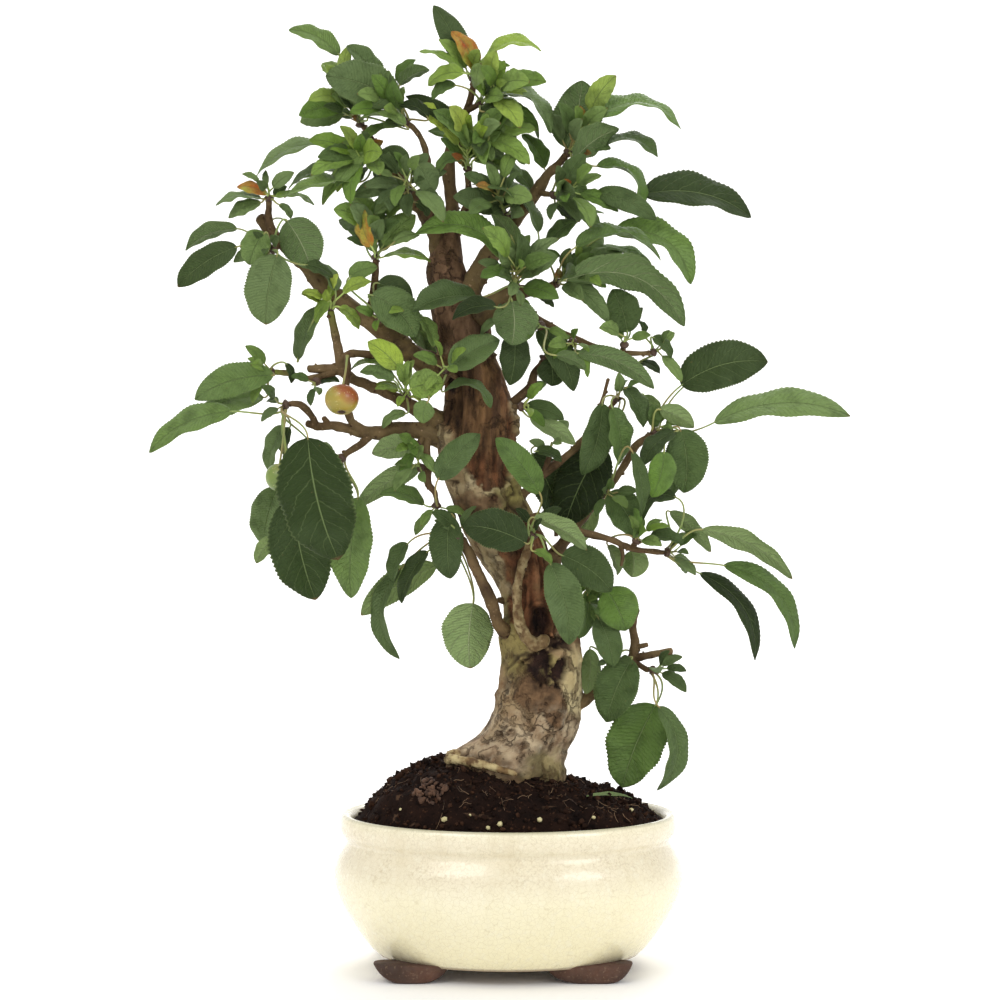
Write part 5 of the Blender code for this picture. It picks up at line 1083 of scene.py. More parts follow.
OVALS = {
    # across, up, half width, half height, raggedness, seed, turn in degrees, size of the rags
    "cut_high": (-12.5, 286, 20.5, 25, 0.12, 1, 6),
    "cut_middle": (-7.0, 266, 14.5, 20, 0.12, 24),
    "cut_low": (-4.6, 253, 10.2, 12.5, 0.16, 2, 0, 3.0),
    "second_cut_high": (13, 203, 13, 20, 0.2, 3, 14),
    "second_cut_low": (18, 180, 13, 17, 0.2, 5),
    "hollow": (19.8, 173.5, 6.6, 8.0, 0.1, 6, -20),
    "recess_left": (18.8, 151.5, 6.8, 8.6, 0.4, 7, 14, 3.4),
    "recess_right": (31.5, 148.5, 3.6, 7.6, 0.42, 8, -12, 3.4),
    "recess_high": (28, 163, 9, 3.4, 0.45, 14, -12, 3.0),
    "plate_left": (16.5, 137.5, 9.0, 9.2, 0.14, 9, 30),
    "plate_right": (26.8, 131, 5.6, 10.4, 0.14, 10, 8),
    "strip": (37.5, 143, 6.2, 17, 0.14, 11, 4),
    "tongue": (-5, 249.5, 11.4, 11, 0.2, 2),
    "notch": (-24, 293, 3, 5, 0.2, 12),
    "cream_high": (-12, 240, 15, 12, 0.25, 13),
    "cream_low": (-4, 205, 5, 26, 0.2, 15, 12),
    "olive_high": (7, 241, 12, 18, 0.3, 16),
    "olive_middle": (7, 166, 10, 18, 0.25, 18),
    "olive_low": (25, 150, 7, 8, 0.3, 19),
    "olive_foot": (23, 100, 10, 9, 0.3, 20),
    "brown_high": (-14, 232, 12, 6.5, 0.45, 22),
    "brown_foot": (-13, 101, 16, 6, 0.4, 23),
}
print("shapes on the trunk", len(OVALS))

# %% Form of the trunk
TRUNK_ROWS = 340
TRUNK_COLUMNS = 150
TRUNK_LOW, TRUNK_HIGH = 66.0, 369.0
SWELLS = [
    # push, height, half height, angle, half angle
    (-4.0, 178, 16, -1.1, 0.5), (-3.0, 275, 22, -1.6, 0.7), (2.2, 139, 9, -1.3, 0.6),
    (2.5, 104, 10, -2.9, 0.5),
]
curve = spline(TRUNK_RINGS, 400)
h = np.linspace(TRUNK_LOW, TRUNK_HIGH, TRUNK_ROWS)
middle, half_x, half_y, middle_y = [np.interp(h, curve[:, 0], curve[:, k])[:, None] for k in (1, 2, 3, 4)]
h = h[:, None]
angle = 2 * np.pi * np.arange(TRUNK_COLUMNS)[None, :] / TRUNK_COLUMNS - np.pi
bump = 0.9 * np.sin(3 * angle + h / 17) + 0.6 * np.sin(5 * angle - h / 11)
for push, at, half_height, at_angle, half_angle in SWELLS:
    bump = bump + push * np.exp(-((h - at) / half_height) ** 2 - ((angle - at_angle) / half_angle) ** 2)
bump = bump * ((h > 100) & (h < 340))
x = middle + (half_x + bump) * np.cos(angle)
y = middle_y + (half_y + bump) * np.sin(angle)
grow = (EYE_DISTANCE + y) / EYE_DISTANCE
u, w = x / grow, EYE_HEIGHT + (h - EYE_HEIGHT) / grow
spot = np.stack([x, y, h + 0 * x], -1)
tall = np.stack([x, y, (h + 0 * x) * 0.14], -1)
front = smooth(0.35, -0.1, np.sin(angle))
print("trunk", np.ptp(x).round(1), "mm wide,", np.ptp(y).round(1), "mm deep")

# %% Cuts, hollow and plates
def rim(distance, at=1.12, wide=0.13):
    """A ridge along the border of a shape: a bell curve of the distance, on the front only."""
    return np.exp(-((distance - at) / wide) ** 2) * front


shape = {name: oval(u, w, *numbers) for name, numbers in OVALS.items()}
cut = np.minimum(np.minimum(shape["cut_high"], shape["cut_middle"]), shape["cut_low"])
upper = fill(cut, 0.07) * front
lower = fill(np.minimum(shape["second_cut_high"], shape["second_cut_low"]), 0.1) * front
dead = np.clip(upper + lower, 0, 1)
# The hollow and the recess ovals are pushed in by the relief, and the dark mask also paints them near-black:
# painted shade.
hole = fill(shape["hollow"], 0.2) * front
lip = rim(shape["hollow"], 1.3, 0.2) * smooth(170, 176, w)
shaded_recess = np.maximum(fill(shape["recess_left"], 0.1), fill(shape["recess_right"], 0.12))
shaded_recess = np.maximum(shaded_recess, 0.9 * fill(shape["recess_high"], 0.14)) * front
plate_edge = np.minimum(shape["plate_left"], shape["plate_right"])
plate = fill(plate_edge, 0.08) * front
strip = fill(shape["strip"], 0.2) * front
print("share of bare wood", float(dead.mean().round(3)))

# %% Knots, burrs and cracks
KNOTS = [
    # across, up, radius
    (6, 118, 3.0), (0.2, 117, 2.4), (10.8, 111, 3.0), (24, 116, 1.6), (2, 128, 1.4), (-3, 236, 2.6),
    (32, 108, 1.8), (16, 119, 1.5),
]
CRACKS = [
    # points on the picture plane, half width
    ([(2, 229), (5, 231.5), (9, 229), (13, 224.5)], 1.5),
    ([(2, 249), (8, 238), (4, 236)], 1.2),
    ([(3, 150), (9, 156), (13, 158)], 1.6),
    ([(-27, 245), (-21, 243.5)], 1.3),
    ([(24, 158), (34, 164)], 1.6),
]
knots = 0.0
knot_rings = 0.0
for across, up, size in KNOTS:
    r = np.hypot(u - across, (w - up) * 1.15) + 0.35 * lattice(spot, 2.2, across)
    raised = 0.42 * np.exp(-((r - size) / (0.32 * size)) ** 2)
    sunk = 0.34 * np.exp(-(r / (0.55 * size)) ** 2)
    knots = knots + front * size * (raised - sunk)
    knot_rings = np.maximum(knot_rings, front * np.exp(-((r - 0.45 * size) / (0.35 * size)) ** 2))
burr = (np.exp(-((u + 3.4) / 4) ** 2 - ((w - 137) / 2.8) ** 2)
        + 0.8 * np.exp(-((u - 38) / 2.4) ** 2 - ((w - 124.5) / 3.4) ** 2))
cracks = np.clip(sum(groove(u, w, points, wide) for points, wide in CRACKS), 0, 1) * front
print("knots", len(KNOTS), "cracks", len(CRACKS))

# %% Relief of the trunk
grain = cloud(tall, 3.0, 3, 21)
rough = cloud(spot, 11, 4, 30) * 0.75 + np.abs(cloud(spot, 3.4, 3, 41)) * -0.5
push = rough * (1 - 0.6 * dead) + dead * (grain * 1.7 - 1.2) + knots + 2.3 * burr * front
push = push + 1.5 * rim(cut, 1.1, 0.08) * smooth(238, 246, w) - 6.0 * hole + 1.9 * lip
push = push - 4.2 * shaded_recess + 1.1 * plate * cloud(spot, 4.2, 3, 17) + 0.9 * rim(plate_edge, 1.05, 0.1)
push = push - 1.1 * cracks + 1.1 * lower * np.abs(cloud(tall, 5.0, 3, 26))
push = push * smooth(70, 90, h) * smooth(368, 350, h)
x = x + push * np.cos(angle)
y = y + push * np.sin(angle)
print("relief from", push.min().round(2), "to", push.max().round(2), "mm")

# %% Masks that the bark material reads
tongue = fill(shape["tongue"], 0.15) * upper * smooth(262, 252, w)
streak = np.exp(-((u - (0.5 + (300 - w) * 0.17)) / 2.6) ** 2) * smooth(255, 266, w) * upper
patch = smooth(0.18, 0.6, cloud(spot, 7.0, 3, 55))
red = 0.85 * tongue + 0.7 * streak + lower * smooth(-0.6, 0.2, cloud(spot, 6, 3, 61))
# The hollow and the recesses are painted near-black through this mask, which is painted shade.
dark = hole + shaded_recess * (1.0 - 0.25 * patch) + rim(plate_edge, 1.02, 0.06) * smooth(-0.7, 0.1, grain)
dark = dark + 0.75 * cracks + 0.36 * knot_rings
dark = dark + upper * fill(shape["notch"], 0.3) + 0.6 * upper * smooth(0.25, 0.6, grain)
cream = 0.95 * strip + rim(cut, 1.1, 0.1) * (0.45 - 0.4 * patch) + 0.9 * lip
cream = cream + 0.9 * streak * smooth(0.15, 0.5, cloud(spot, 3.2, 3, 71))
cream = cream + 0.25 * fill(shape["cream_high"], 0.35) * front + 0.5 * fill(shape["cream_low"], 0.35) * front
olive = 0.95 * fill(shape["olive_high"], 0.4) + 0.75 * fill(shape["olive_middle"], 0.35)
olive = olive + 0.7 * fill(shape["olive_low"], 0.3) + 0.6 * fill(shape["olive_foot"], 0.4)
brown = 0.9 * plate + 0.85 * fill(shape["brown_high"], 0.3) * front + 0.9 * burr
brown = brown + 0.7 * fill(shape["brown_foot"], 0.4) * front + 0.55 * knot_rings
masks = {
    "dead": dead,
    "red": np.clip(red, 0, 1),
    "dark": np.clip(dark, 0, 1),
    "cream": np.clip(cream, 0, 1) * (1 - plate),
    "olive": np.clip(olive, 0, 1) * front,
    "brown": np.clip(brown, 0, 1),
    "ridge": smooth(-0.7, 0.8, grain) * dead + (1 - dead) * smooth(-0.9, 0.7, rough),
    "old": smooth(303, 312, w + 3 * lattice(spot, 6.0, 3.0)),
    "grey": np.clip(smooth(136, 122, w) * smooth(93, 101, w) * 0.85 + 0.35 * (1 - front), 0, 1)
    * (1 - 0.5 * patch),
}
make_piece("trunk_bark", np.stack([x, y, h + 0 * x], -1).reshape(-1, 3),
           tube_faces(TRUNK_ROWS, TRUNK_COLUMNS), [BARK],
           replaces=["trunk_and_branches"], floats=masks)

# %% [markdown]
# The branches are swept tubes. They taper, swell a little at each joint, and their bark is
# wrinkled. The ends are rounded, and each spray has its short stub of wood to grow from. A curve
# object with a bevel would be quicker, but its rings can't waver with the bark or carry the masks
# that say where the wood is thick, green or bare.

# %% Swept tubes
def sweep(line, radii, sides, seed=0.0, bumps=0.07):
    """Rings about a line: each ring stands square to the line, and its radius wavers with the bark."""
    ahead = unit(np.gradient(line, axis=0))
    across = unit(np.cross(ahead, np.array([0.03, 1.0, 0.05])))
    upward = np.cross(across, ahead)
    turn = circle(sides)
    out = across[:, None] * np.cos(turn)[None, :, None] + upward[:, None] * np.sin(turn)[None, :, None]
    places = line[:, None] + out * radii[:, None, None]
    waver = 1 + bumps * cloud(places, 3.2, 3, seed)
    return line[:, None] + out * (radii[:, None] * waver)[..., None]


def rounded(line, radii):
    """The line with a rounded end: the last rings close over the tip."""
    ahead = unit(line[-1] - line[-2])
    r = radii[-1]
    turn = np.array([0.5, 0.95, 1.35])
    extra = line[-1] + ahead * (r * 0.7 * np.sin(turn))[:, None]
    return np.vstack([line, extra]), np.concatenate([radii, r * np.maximum(np.cos(turn), 0.12)])


print("a rounded end adds", len(rounded(np.eye(3), np.ones(3))[0]) - 3, "rings")

# %% Branches
BRANCH_STEP = 1.5
JOINT_EVERY = 14
BARE_WOOD = {"surface_root": 0.95, "snag": 0.95, "hook": 0.5}
GREEN_TWIGS = ("left_mid_up", "left_mid_young")


def branch_rows():
    """Every branch with its knots; one that ends where a spray grows runs on into the spray's stub."""
    ends = {root: start for _, _, root, start, _ in SPRAYS}
    tips = set()
    jobs = []
    for name, rows in BRANCHES.items():
        tip = tuple(rows[-1][:3])
        rows = [tuple(row) for row in rows]
        if tip in ends:
            tips.add(tip)
            rows.append((*ends[tip], rows[-1][3]))
        jobs.append((name, rows))
    for name, _, root, start, _ in SPRAYS:
        if root not in tips:
            halfway = [(a + b) / 2 for a, b in zip(root, start)]
            jobs.append((name, [(*root, 1.5), (*halfway, 1.4), (*start, 1.35)]))
    return jobs


def make_branches():
    """One tube for each branch, and small lumps on them where buds broke."""
    random = np.random.default_rng(31)
    heap = Heap("thick", "young", "bare")
    buds = []
    for number, (name, rows) in enumerate(branch_rows()):
        rows = np.array(rows, float)
        length = np.linalg.norm(np.diff(rows[:, :3], axis=0), axis=1).sum()
        curve = spline(rows, max(int(length / BRANCH_STEP), 8))
        line = seen(curve[:, 0], curve[:, 1], curve[:, 2])
        from_joint = (np.arange(len(curve)) * BRANCH_STEP % JOINT_EVERY) - JOINT_EVERY / 2
        radii = curve[:, 3] * (1 + 0.10 * np.exp(-from_joint ** 2 / 3.0))
        line, radii = rounded(line, radii)
        sides = 22 if rows[0, 3] > 4 else 14
        rings = sweep(line, radii, sides, number * 1.7, 0.26 if name in BARE_WOOD else 0.17)
        for at in np.arange(random.uniform(2, 6), length / BRANCH_STEP - 3, random.uniform(4.0, 6.5)):
            buds.append(rings[int(at), random.integers(sides)])
        green = 0.85 if name in GREEN_TWIGS else 0.0
        heap.put(rings, tube_faces(len(line), sides), thick=np.repeat(smooth(1.6, 5.0, radii), sides),
                 young=np.repeat(green * smooth(0.35, 0.9, np.linspace(0, 1, len(line))), sides),
                 bare=BARE_WOOD.get(name, 0.0))
    lumps, lump_faces = pebbles(np.array(buds), random.uniform(0.5, 1.25, len(buds)), random, 0.2, 0.7)
    heap.put(lumps, [lump_faces])
    return heap.piece("branch_bark", [TWIG], "bark", ["trunk_and_branches"])


make_branches()

# %% [markdown]
# Dry root fibres show all over the mound. Each one is a short tube that lies on the soil in a
# shallow curve, and every third one lifts an end. They have five sides only, since there are many.

# %% Root fibres in the soil
FIBRES = 170
FIBRES_WITHIN = 73
FIBRE_POINTS = 6
FIBRE_SIDES = 5


def make_fibres():
    """Thin dry roots that lie on the mound and stick out of its skyline."""
    draw = np.random.default_rng(23).uniform
    material, tree, shader = new_material("dry_root_fibre", 0.85)
    paint(tree, shader, blend(tree, patches(tree, 9, 3, 0.4, 0.6), "#35241A", "#7C6248"))
    heap = Heap()
    for k in range(FIBRES):
        angle, radius = draw(0, 2 * np.pi), FIBRES_WITHIN * draw(0.15, 1) ** 0.5
        x, y = POT_X + radius * np.cos(angle), radius * OVAL * np.sin(angle)
        if from_trunk(x, y, *FIBRES_CLEAR) < 1:
            continue
        heading, long = draw(0, 2 * np.pi), draw(2.5, 9)
        t = np.linspace(-0.5, 0.5, FIBRE_POINTS)
        curl = draw(-0.5, 0.5) * long * (t ** 2) * 2
        px = x + long * t * np.cos(heading) - curl * np.sin(heading)
        py = y + long * t * np.sin(heading) + curl * np.cos(heading)
        lift = draw(0.1, 0.5) + (draw(0, 2.2) * (t + 0.5) if k % 3 == 0 else 0)
        line = np.stack([px, py, soil_top(px, py) + lift], -1)
        radii = np.full(FIBRE_POINTS, draw(0.09, 0.2))
        heap.put(sweep(line, radii, FIBRE_SIDES, k, 0.1), tube_faces(FIBRE_POINTS, FIBRE_SIDES))
    return heap.piece("root_fibres", [material], "soil", ["soil"])


make_fibres()

# %% [markdown]
# The leaves are crabapple leaves: oval, drawn to a point, finely saw-toothed, folded a little along
# the midrib and raised between the side veins. Old ones are deep blue-green and leathery, new ones
# yellow-green or flushed with red, and the undersides are pale and dull. Each blade is a fine sheet
# with an upper and a lower face that meet in a thin edge. One material serves all leaves: it reads
# from the mesh how old a blade is, which side shows, and where its midrib and margin run.

# %% Veins
def vein_mask(tree, sideways, along, pairs, lean, width):
    """One on the side veins: lines that leave the midrib slanting forwards and curve to the margin."""
    reach = maths(tree, "ABSOLUTE", sideways)
    bent = times(tree, maths(tree, "POWER", reach, 1.25), lean)
    phase = times(tree, maths(tree, "SUBTRACT", along, bent), pairs)
    phase = plus(tree, phase, times(tree, noise(tree, 9, 2), 0.9))
    near = maths(tree, "ABSOLUTE", maths(tree, "SUBTRACT", maths(tree, "FRACT", phase), 0.5))
    return ramp(tree, near, width, 0.0)

# %% Leaf material
def leaf_material():
    """Four tones from old to new, a painted sheen, red flush, a pale underside with painted floor light on
    low leaves, veins, flecks and burnt tips.
    """
    material, tree, shader = new_material("crabapple_leaf")
    uv = add(tree, "ShaderNodeUVMap", uv_map="blade").outputs[0]
    parts = add(tree, "ShaderNodeSeparateXYZ", None, {"Vector": uv})
    sideways = times(tree, maths(tree, "SUBTRACT", parts.outputs["X"], 0.5), 2.0)
    along = parts.outputs["Y"]
    tone, chance, under, red = (attribute(tree, key) for key in ("tone", "chance", "under", "red"))
    deep = blend(tree, chance, "#1C280C", "#31431A")
    grey = blend(tree, chance, "#566C3A", "#80965F")
    fresh = blend(tree, chance, "#688A36", "#8FAE4C")
    new = blend(tree, chance, "#A5C23C", "#CADA60")
    base = blend(tree, ramp(tree, tone, 0.0, 0.34), deep, grey)
    base = blend(tree, ramp(tree, tone, 0.34, 0.67), base, fresh)
    base = blend(tree, ramp(tree, tone, 0.67, 1.0), base, new)
    # Grey-green patches, stronger on newer leaves, are a painted sheen of reflected light.
    sheen = times(tree, patches(tree, 16, 4, 0.45, 0.68), plus(tree, times(tree, tone, 0.3), 0.1))
    base = wash(tree, base, "#7C8F68", sheen)
    base = wash(tree, base, "#22320F", patches(tree, 5, 4, 0.5, 0.3), 0.4)
    rusty = blend(tree, patches(tree, 6, 3, 0.35, 0.65), "#D07C30", "#AE4529")
    base = blend(tree, times(tree, red, patches(tree, 8, 3, 0.3, 0.6)), base, rusty)
    # Undersides run from dark to light by the chance value, which on low leaves is set light: painted light
    # from the floor.
    below = blend(tree, chance, "#5E7345", "#8BA067")
    below = wash(tree, below, "#9DB467", ramp(tree, tone, 0.5, 1.0))
    below = wash(tree, below, "#6F8753", patches(tree, 7, 4, 0.4, 0.7), 0.35)
    base = blend(tree, under, base, below)
    rib = ramp(tree, maths(tree, "ABSOLUTE", sideways), 0.036, 0.008)
    side = vein_mask(tree, sideways, along, 6.5, 0.30, 0.06)
    small = vein_mask(tree, sideways, along, 25.0, 0.12, 0.16)
    side = times(tree, side, ramp(tree, maths(tree, "ABSOLUTE", sideways), 0.98, 0.75))
    veins = maths(tree, "MAXIMUM", rib, times(tree, side, plus(tree, times(tree, under, 0.35), 0.34)))
    veins = maths(tree, "MAXIMUM", veins, times(tree, small, 0.05))
    lined = blend(tree, under, "#8FA36A", "#C9D6A2")
    base = blend(tree, times(tree, veins, 0.68), base, lined)
    fleck = patches(tree, 1.1, 2, 0.7, 0.76)
    base = wash(tree, base, "#7A6A3C", fleck, 0.35)
    burnt = times(tree, ramp(tree, along, 0.965, 0.995), ramp(tree, chance, 0.5, 0.8))
    base = wash(tree, base, "#86603F", burnt, 0.7)
    margin = times(tree, ramp(tree, maths(tree, "ABSOLUTE", sideways), 0.93, 1.0), 0.3)
    base = wash(tree, base, "#93A56C", margin)
    rough = plus(tree, times(tree, under, 0.15), 0.5)
    rough = plus(tree, rough, times(tree, patches(tree, 4, 3, 0.3, 0.7), 0.12))
    paint(tree, shader, base, rough, {"Specular IOR Level": 0.22})
    quilt = plus(tree, times(tree, noise(tree, 2.6, 3), 1.5), times(tree, noise(tree, 0.9, 3), 0.4))
    sunk = maths(tree, "SUBTRACT", quilt, plus(tree, times(tree, veins, 0.8), times(tree, small, 0.2)))
    lift = maths(tree, "SUBTRACT", 1.0, times(tree, under, 2.0))
    raise_by(tree, shader, times(tree, sunk, lift), 1.0, 1.0)
    glow = add(tree, "ShaderNodeBsdfTranslucent", None, {"Color": wash(tree, base, "#8FA850", 0.3)})
    mix = add(tree, "ShaderNodeMixShader", {0: 0.14}, {1: shader.outputs[0], 2: glow.outputs[0]})
    tree.links.new(mix.outputs[0], tree.nodes["Material Output"].inputs["Surface"])
    return material


LEAF = leaf_material()
print(LEAF.name, len(LEAF.node_tree.nodes), "nodes")

# %% Material of the stalks
def petiole_material():
    """Green stalk, tan in places, brown and scaly at the bud."""
    material, tree, shader = new_material("leaf_stalk", 0.55)
    tone = attribute(tree, "tone")
    base = blend(tree, patches(tree, 9, 3, 0.4, 0.65), "#7F9150", "#94814E")
    base = wash(tree, base, "#A9C062", ramp(tree, tone, 0.4, 1.0))
    base = wash(tree, base, "#4C3628", ramp(tree, attribute(tree, "bud"), 0.2, 0.8))
    paint(tree, shader, base)
    raise_by(tree, shader, noise(tree, 1.2, 4), 0.2, 0.6)
    return material


PETIOLE = petiole_material()
print(PETIOLE.name, len(PETIOLE.node_tree.nodes), "nodes")

# %% [markdown]
# A leaf could be a flat card with a picture of a leaf on it, but then it would have no thickness
# and no folds. Here it is a sheet of rows and columns bent along its midrib. The rows follow the
# saw teeth, and the columns stand closer at the midrib and the margin, where the form turns most.

# %% Leaf places
def leaf_ends(row, shift, shrink, turn):
    """Base, tip, true width, roll and arch of a leaf of the table, moved back or forth by a shift."""
    base_x, base_up, tip_x, tip_up, width, kind, arch, _, depth = row
    swing = 0.16 * math.hypot(tip_x - base_x, tip_up - base_up)
    lean = swing * math.sin(base_x * 1.7 + tip_up * 0.9)
    mid_x, mid_up = (base_x + tip_x) / 2, (base_up + tip_up) / 2
    ends = [seen(mid_x + (x - mid_x) * shrink, mid_up + (up - mid_up) * shrink, depth + shift + side * lean)
            for x, up, side in ((base_x, base_up, -0.5), (tip_x, tip_up, 0.5))]
    roll = math.radians(KINDS[kind] if turn is None else turn)
    length = np.linalg.norm(ends[1] - ends[0])
    wide = min(width * shrink / max(abs(math.cos(roll)), 0.24), max(0.6 * length, width * shrink))
    return ends[0], ends[1], wide, roll, arch * shrink


def blade_frame(base, tip, roll, arch, share):
    """Points of the midrib, and the directions along it, sideways and out of the face."""
    axis = unit(tip - base)
    middle = (base + tip) / 2
    view = unit(np.array([0, -EYE_DISTANCE, EYE_HEIGHT]) - middle)
    facing = unit(view - axis * (view @ axis))
    upward = np.cross(axis, facing)
    if upward @ np.array([0.3 if middle[0] > POT_X else -0.3, 0, 1]) < 0:
        upward = -upward
    normal = math.cos(roll) * facing + math.sin(roll) * upward
    length = np.linalg.norm(tip - base)
    share = np.atleast_1d(share)[:, None]
    hump = 4 * share * (1 - share)
    slope = 4 * (1 - 2 * share) / length
    bow = 0.05 * length
    point = base + (tip - base) * share + (upward * arch + normal * bow) * hump
    along = unit(axis + (upward * arch + normal * bow) * slope)
    face = unit(normal - along * (along @ normal)[:, None])
    return point, along, np.cross(along, face), face


print("kinds of turn", KINDS)

# %% Leaf blades
ROWS = 53
COLUMNS = np.array([-1.0, -0.86, -0.66, -0.42, -0.17, 0.0, 0.17, 0.42, 0.66, 0.86, 1.0])
BUD_ROWS = 15
WIDEST = 0.4229
TOOTH = 0.03
LEAST_HALF = 0.42
PANELS = 9.0
THICKNESS = 0.24
BUD_COLUMNS = np.array([-1.0, -0.6, 0.0, 0.6, 1.0])


def blade_sheets(rows, columns):
    """Faces of a blade: the upper sheet, the lower one turned over, and the two thin edges.

    Both sheets are cut into triangles along the same diagonals, so that they never cross."""
    quads = grid_faces(rows, columns)
    thirds = np.vstack([quads[:, [0, 1, 2]], quads[:, [0, 2, 3]]])
    n = rows * columns
    r = np.arange(rows - 1)
    left = np.stack([r * columns, (r + 1) * columns, (r + 1) * columns + n, r * columns + n], -1)
    return [thirds, thirds[:, ::-1] + n, left, left[:, ::-1] + columns - 1]


def blade(base, tip, wide, roll, arch, seed, rows=ROWS, columns=COLUMNS):
    """Both sheets of one blade, upper first: saw-toothed outline, fold, waves and raised panels."""
    share = np.linspace(0.0, 1.0, rows)
    point, _, side, face = blade_frame(base, tip, roll, arch, share)
    length = np.linalg.norm(tip - base)
    body = 0.5 * np.clip(share, 1e-6, 1) ** 0.55 * (1 - np.clip(share, 0, 1 - 1e-6)) ** 0.70 / WIDEST
    tooth = np.where(np.arange(rows) % 2 == 0, 1.0, -1.0) * TOOTH
    tooth = tooth * smooth(0.03, 0.14, share) * smooth(1.0, 0.93, share)
    tooth = tooth + 0.018 * np.sin(share * 21 + seed * 4.1) * smooth(0.1, 0.3, share)
    half = np.maximum(body * (1 + tooth) * wide, LEAST_HALF)[:, None]
    t = columns[None, :]
    s = share[:, None]
    reach = np.abs(t)
    phase = PANELS * (s - 0.30 * reach ** 0.8)
    panel = np.abs(np.sin(np.pi * phase)) ** 0.7 * np.sin(np.pi * np.clip(reach, 0, 1)) ** 0.8
    wave = 0.045 * wide * np.sin(2 * np.pi * (1.3 * s + seed * 0.37)) * t * reach
    wave = wave + 0.035 * wide * np.sin(2 * np.pi * (2.9 * s + seed * 0.71 + 0.25 * t)) * reach ** 2
    droop = -0.10 * wide * reach ** 2.2 * (0.6 + 0.4 * math.sin(seed * 2.1))
    fold = FOLD * (0.95 + (0.4 if wide < 22 else 0.0) * math.sin(seed * 6.7))
    rise = fold * half * reach ** 1.15 - 0.03 * length * s ** 5
    rise = rise + (wave + droop) * np.sin(np.pi * np.clip(s, 0, 1)) ** 0.5
    rise = rise + min(0.034 * wide, 0.6) * (panel - 0.4) * np.sin(np.pi * s) ** 0.4
    rise = rise + 0.16 * math.sin(seed * 3.3) * (s - 0.4) * t * half
    mid = point[:, None] + side[:, None] * (t * half)[..., None] + face[:, None] * rise[..., None]
    thick = THICKNESS * (1 - 0.92 * reach ** 6) + 0.1 * np.exp(-(t / 0.1) ** 2) * (1 - s)
    upper = mid + face[:, None] * (thick * 0.5)[..., None]
    lower = mid - face[:, None] * (thick * 0.5 + 0.28 * np.exp(-(t / 0.12) ** 2) * (1 - s))[..., None]
    uv = np.stack(np.broadcast_arrays(0.5 + 0.5 * t, s), -1).reshape(-1, 2)
    return np.vstack([upper.reshape(-1, 3), lower.reshape(-1, 3)]), np.vstack([uv, uv])


def stalk_line(core, away, slot_shift, base, along, steps):
    """The petiole's path: a cubic that leaves the shoot outwards and meets the midrib in line."""
    outward = unit((base - core) - away * ((base - core) @ away))
    core = core + outward * 1.3 + away * slot_shift
    reach = np.linalg.norm(base - core)
    leave = unit(away + outward)
    a, b, c, d = core, core + leave * min(0.34 * reach, 9.0), base - along * 0.34 * reach, base
    t = np.linspace(0, 1, steps)[:, None]
    return a * (1 - t) ** 3 + b * 3 * t * (1 - t) ** 2 + c * 3 * t ** 2 * (1 - t) + d * t ** 3


print("points in a blade", 2 * ROWS * len(COLUMNS), "and in a new one", 2 * BUD_ROWS * len(BUD_COLUMNS))

# %% [markdown]
# The plain solids left out some leaves that had no room, and moved others in depth. So each leaf
# of the table is looked for on its plain spray: where a vertex lies at the tip that a shift gives,
# that shift is taken. A leaf that no shift finds is left out, as it is on the plain solid.

# %% Finding each leaf on its plain solid
AT_THE_TIP = 0.05
PLAIN_HALF_THICKNESS = 0.35


def node_points(name):
    """The vertices of a plain solid, in millimetres."""
    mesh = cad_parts[name].data
    co = np.zeros(len(mesh.vertices) * 3, np.float32)
    mesh.vertices.foreach_get("co", co)
    return co.reshape(-1, 3).astype(float) / MM


JOBS = [(name, row, SHIFTS, 1.0, None) for name, _, _, _, leaves in SPRAYS for row in leaves]
JOBS += [(name, row, BACK_SHIFTS, BACK_SHARE, 180.0 - KINDS[row[5]] if row[5] in "fo" else 30.0)
         for name, _, _, _, leaves in SPRAYS for row in leaves if row[4] >= BACK_FROM_WIDTH]
solid_points = {name: node_points(name) for name, *_ in SPRAYS}
found = {name: [] for name in solid_points}
missing = 0
for name, row, shifts, shrink, turn in JOBS:
    best = None
    for shift in shifts:
        base, tip, wide, roll, arch = leaf_ends(row, shift, shrink, turn)
        point, _, _, face = blade_frame(base, tip, roll, arch, 1.0)
        apex = point[0] + face[0] * PLAIN_HALF_THICKNESS
        gap = np.min(np.linalg.norm(solid_points[name] - apex, axis=1))
        if best is None or gap < best[0]:
            best = (gap, base, tip, wide, roll, arch)
    if best[0] > AT_THE_TIP:
        missing += 1
        continue
    found[name].append((row, shrink, *best[1:]))
print("leaves found", sum(len(v) for v in found.values()), "not found", missing)

# %% [markdown]
# A spray is one short shoot: a bud of overlapping scales at its foot, the leaves of the table on
# their petioles, and small new leaves that unfold along the shoot. It is one piece, as it would
# come off in the hand.

# %% Tone of a leaf
YOUNG_SPRAYS = ("spray_apex", "spray_upper_fork", "spray_shoot", "spray_mid_near")
BIGGEST_FROM = 26


def leaf_tone(name, row, shrink, crown, seed):
    """Tone from old to new, a chance within the tone that also carries painted floor light on low
    undersides, and red flush of a leaf of the table.
    """
    _, base_up, _, _, width, kind, _, level, _ = row
    level = level if shrink == 1.0 else min(level, 1)
    chance = 0.5 + 0.5 * math.sin(seed * 12.9)
    # A leaf that shows its underside is set light below 300 mm and dark above: painted light from the floor
    # on the low undersides.
    if kind in "uv":
        chance = 1.0 if base_up < 300 else 0.15
    oldest = 0.0 if width > BIGGEST_FROM else 0.17
    tone = (oldest, 0.46 if crown else 0.36, 0.84 if name in YOUNG_SPRAYS else 0.54, 0.9)[level]
    tone = tone + (0.12 if tone > 0 else 0) * math.sin(seed * 5.1)
    return min(max(tone, 0.0), 1.0), chance, float(level == 3)


print("first leaf's tone, chance and red", leaf_tone(SPRAYS[0][0], SPRAYS[0][4][0], 1.0, True, 0.0))

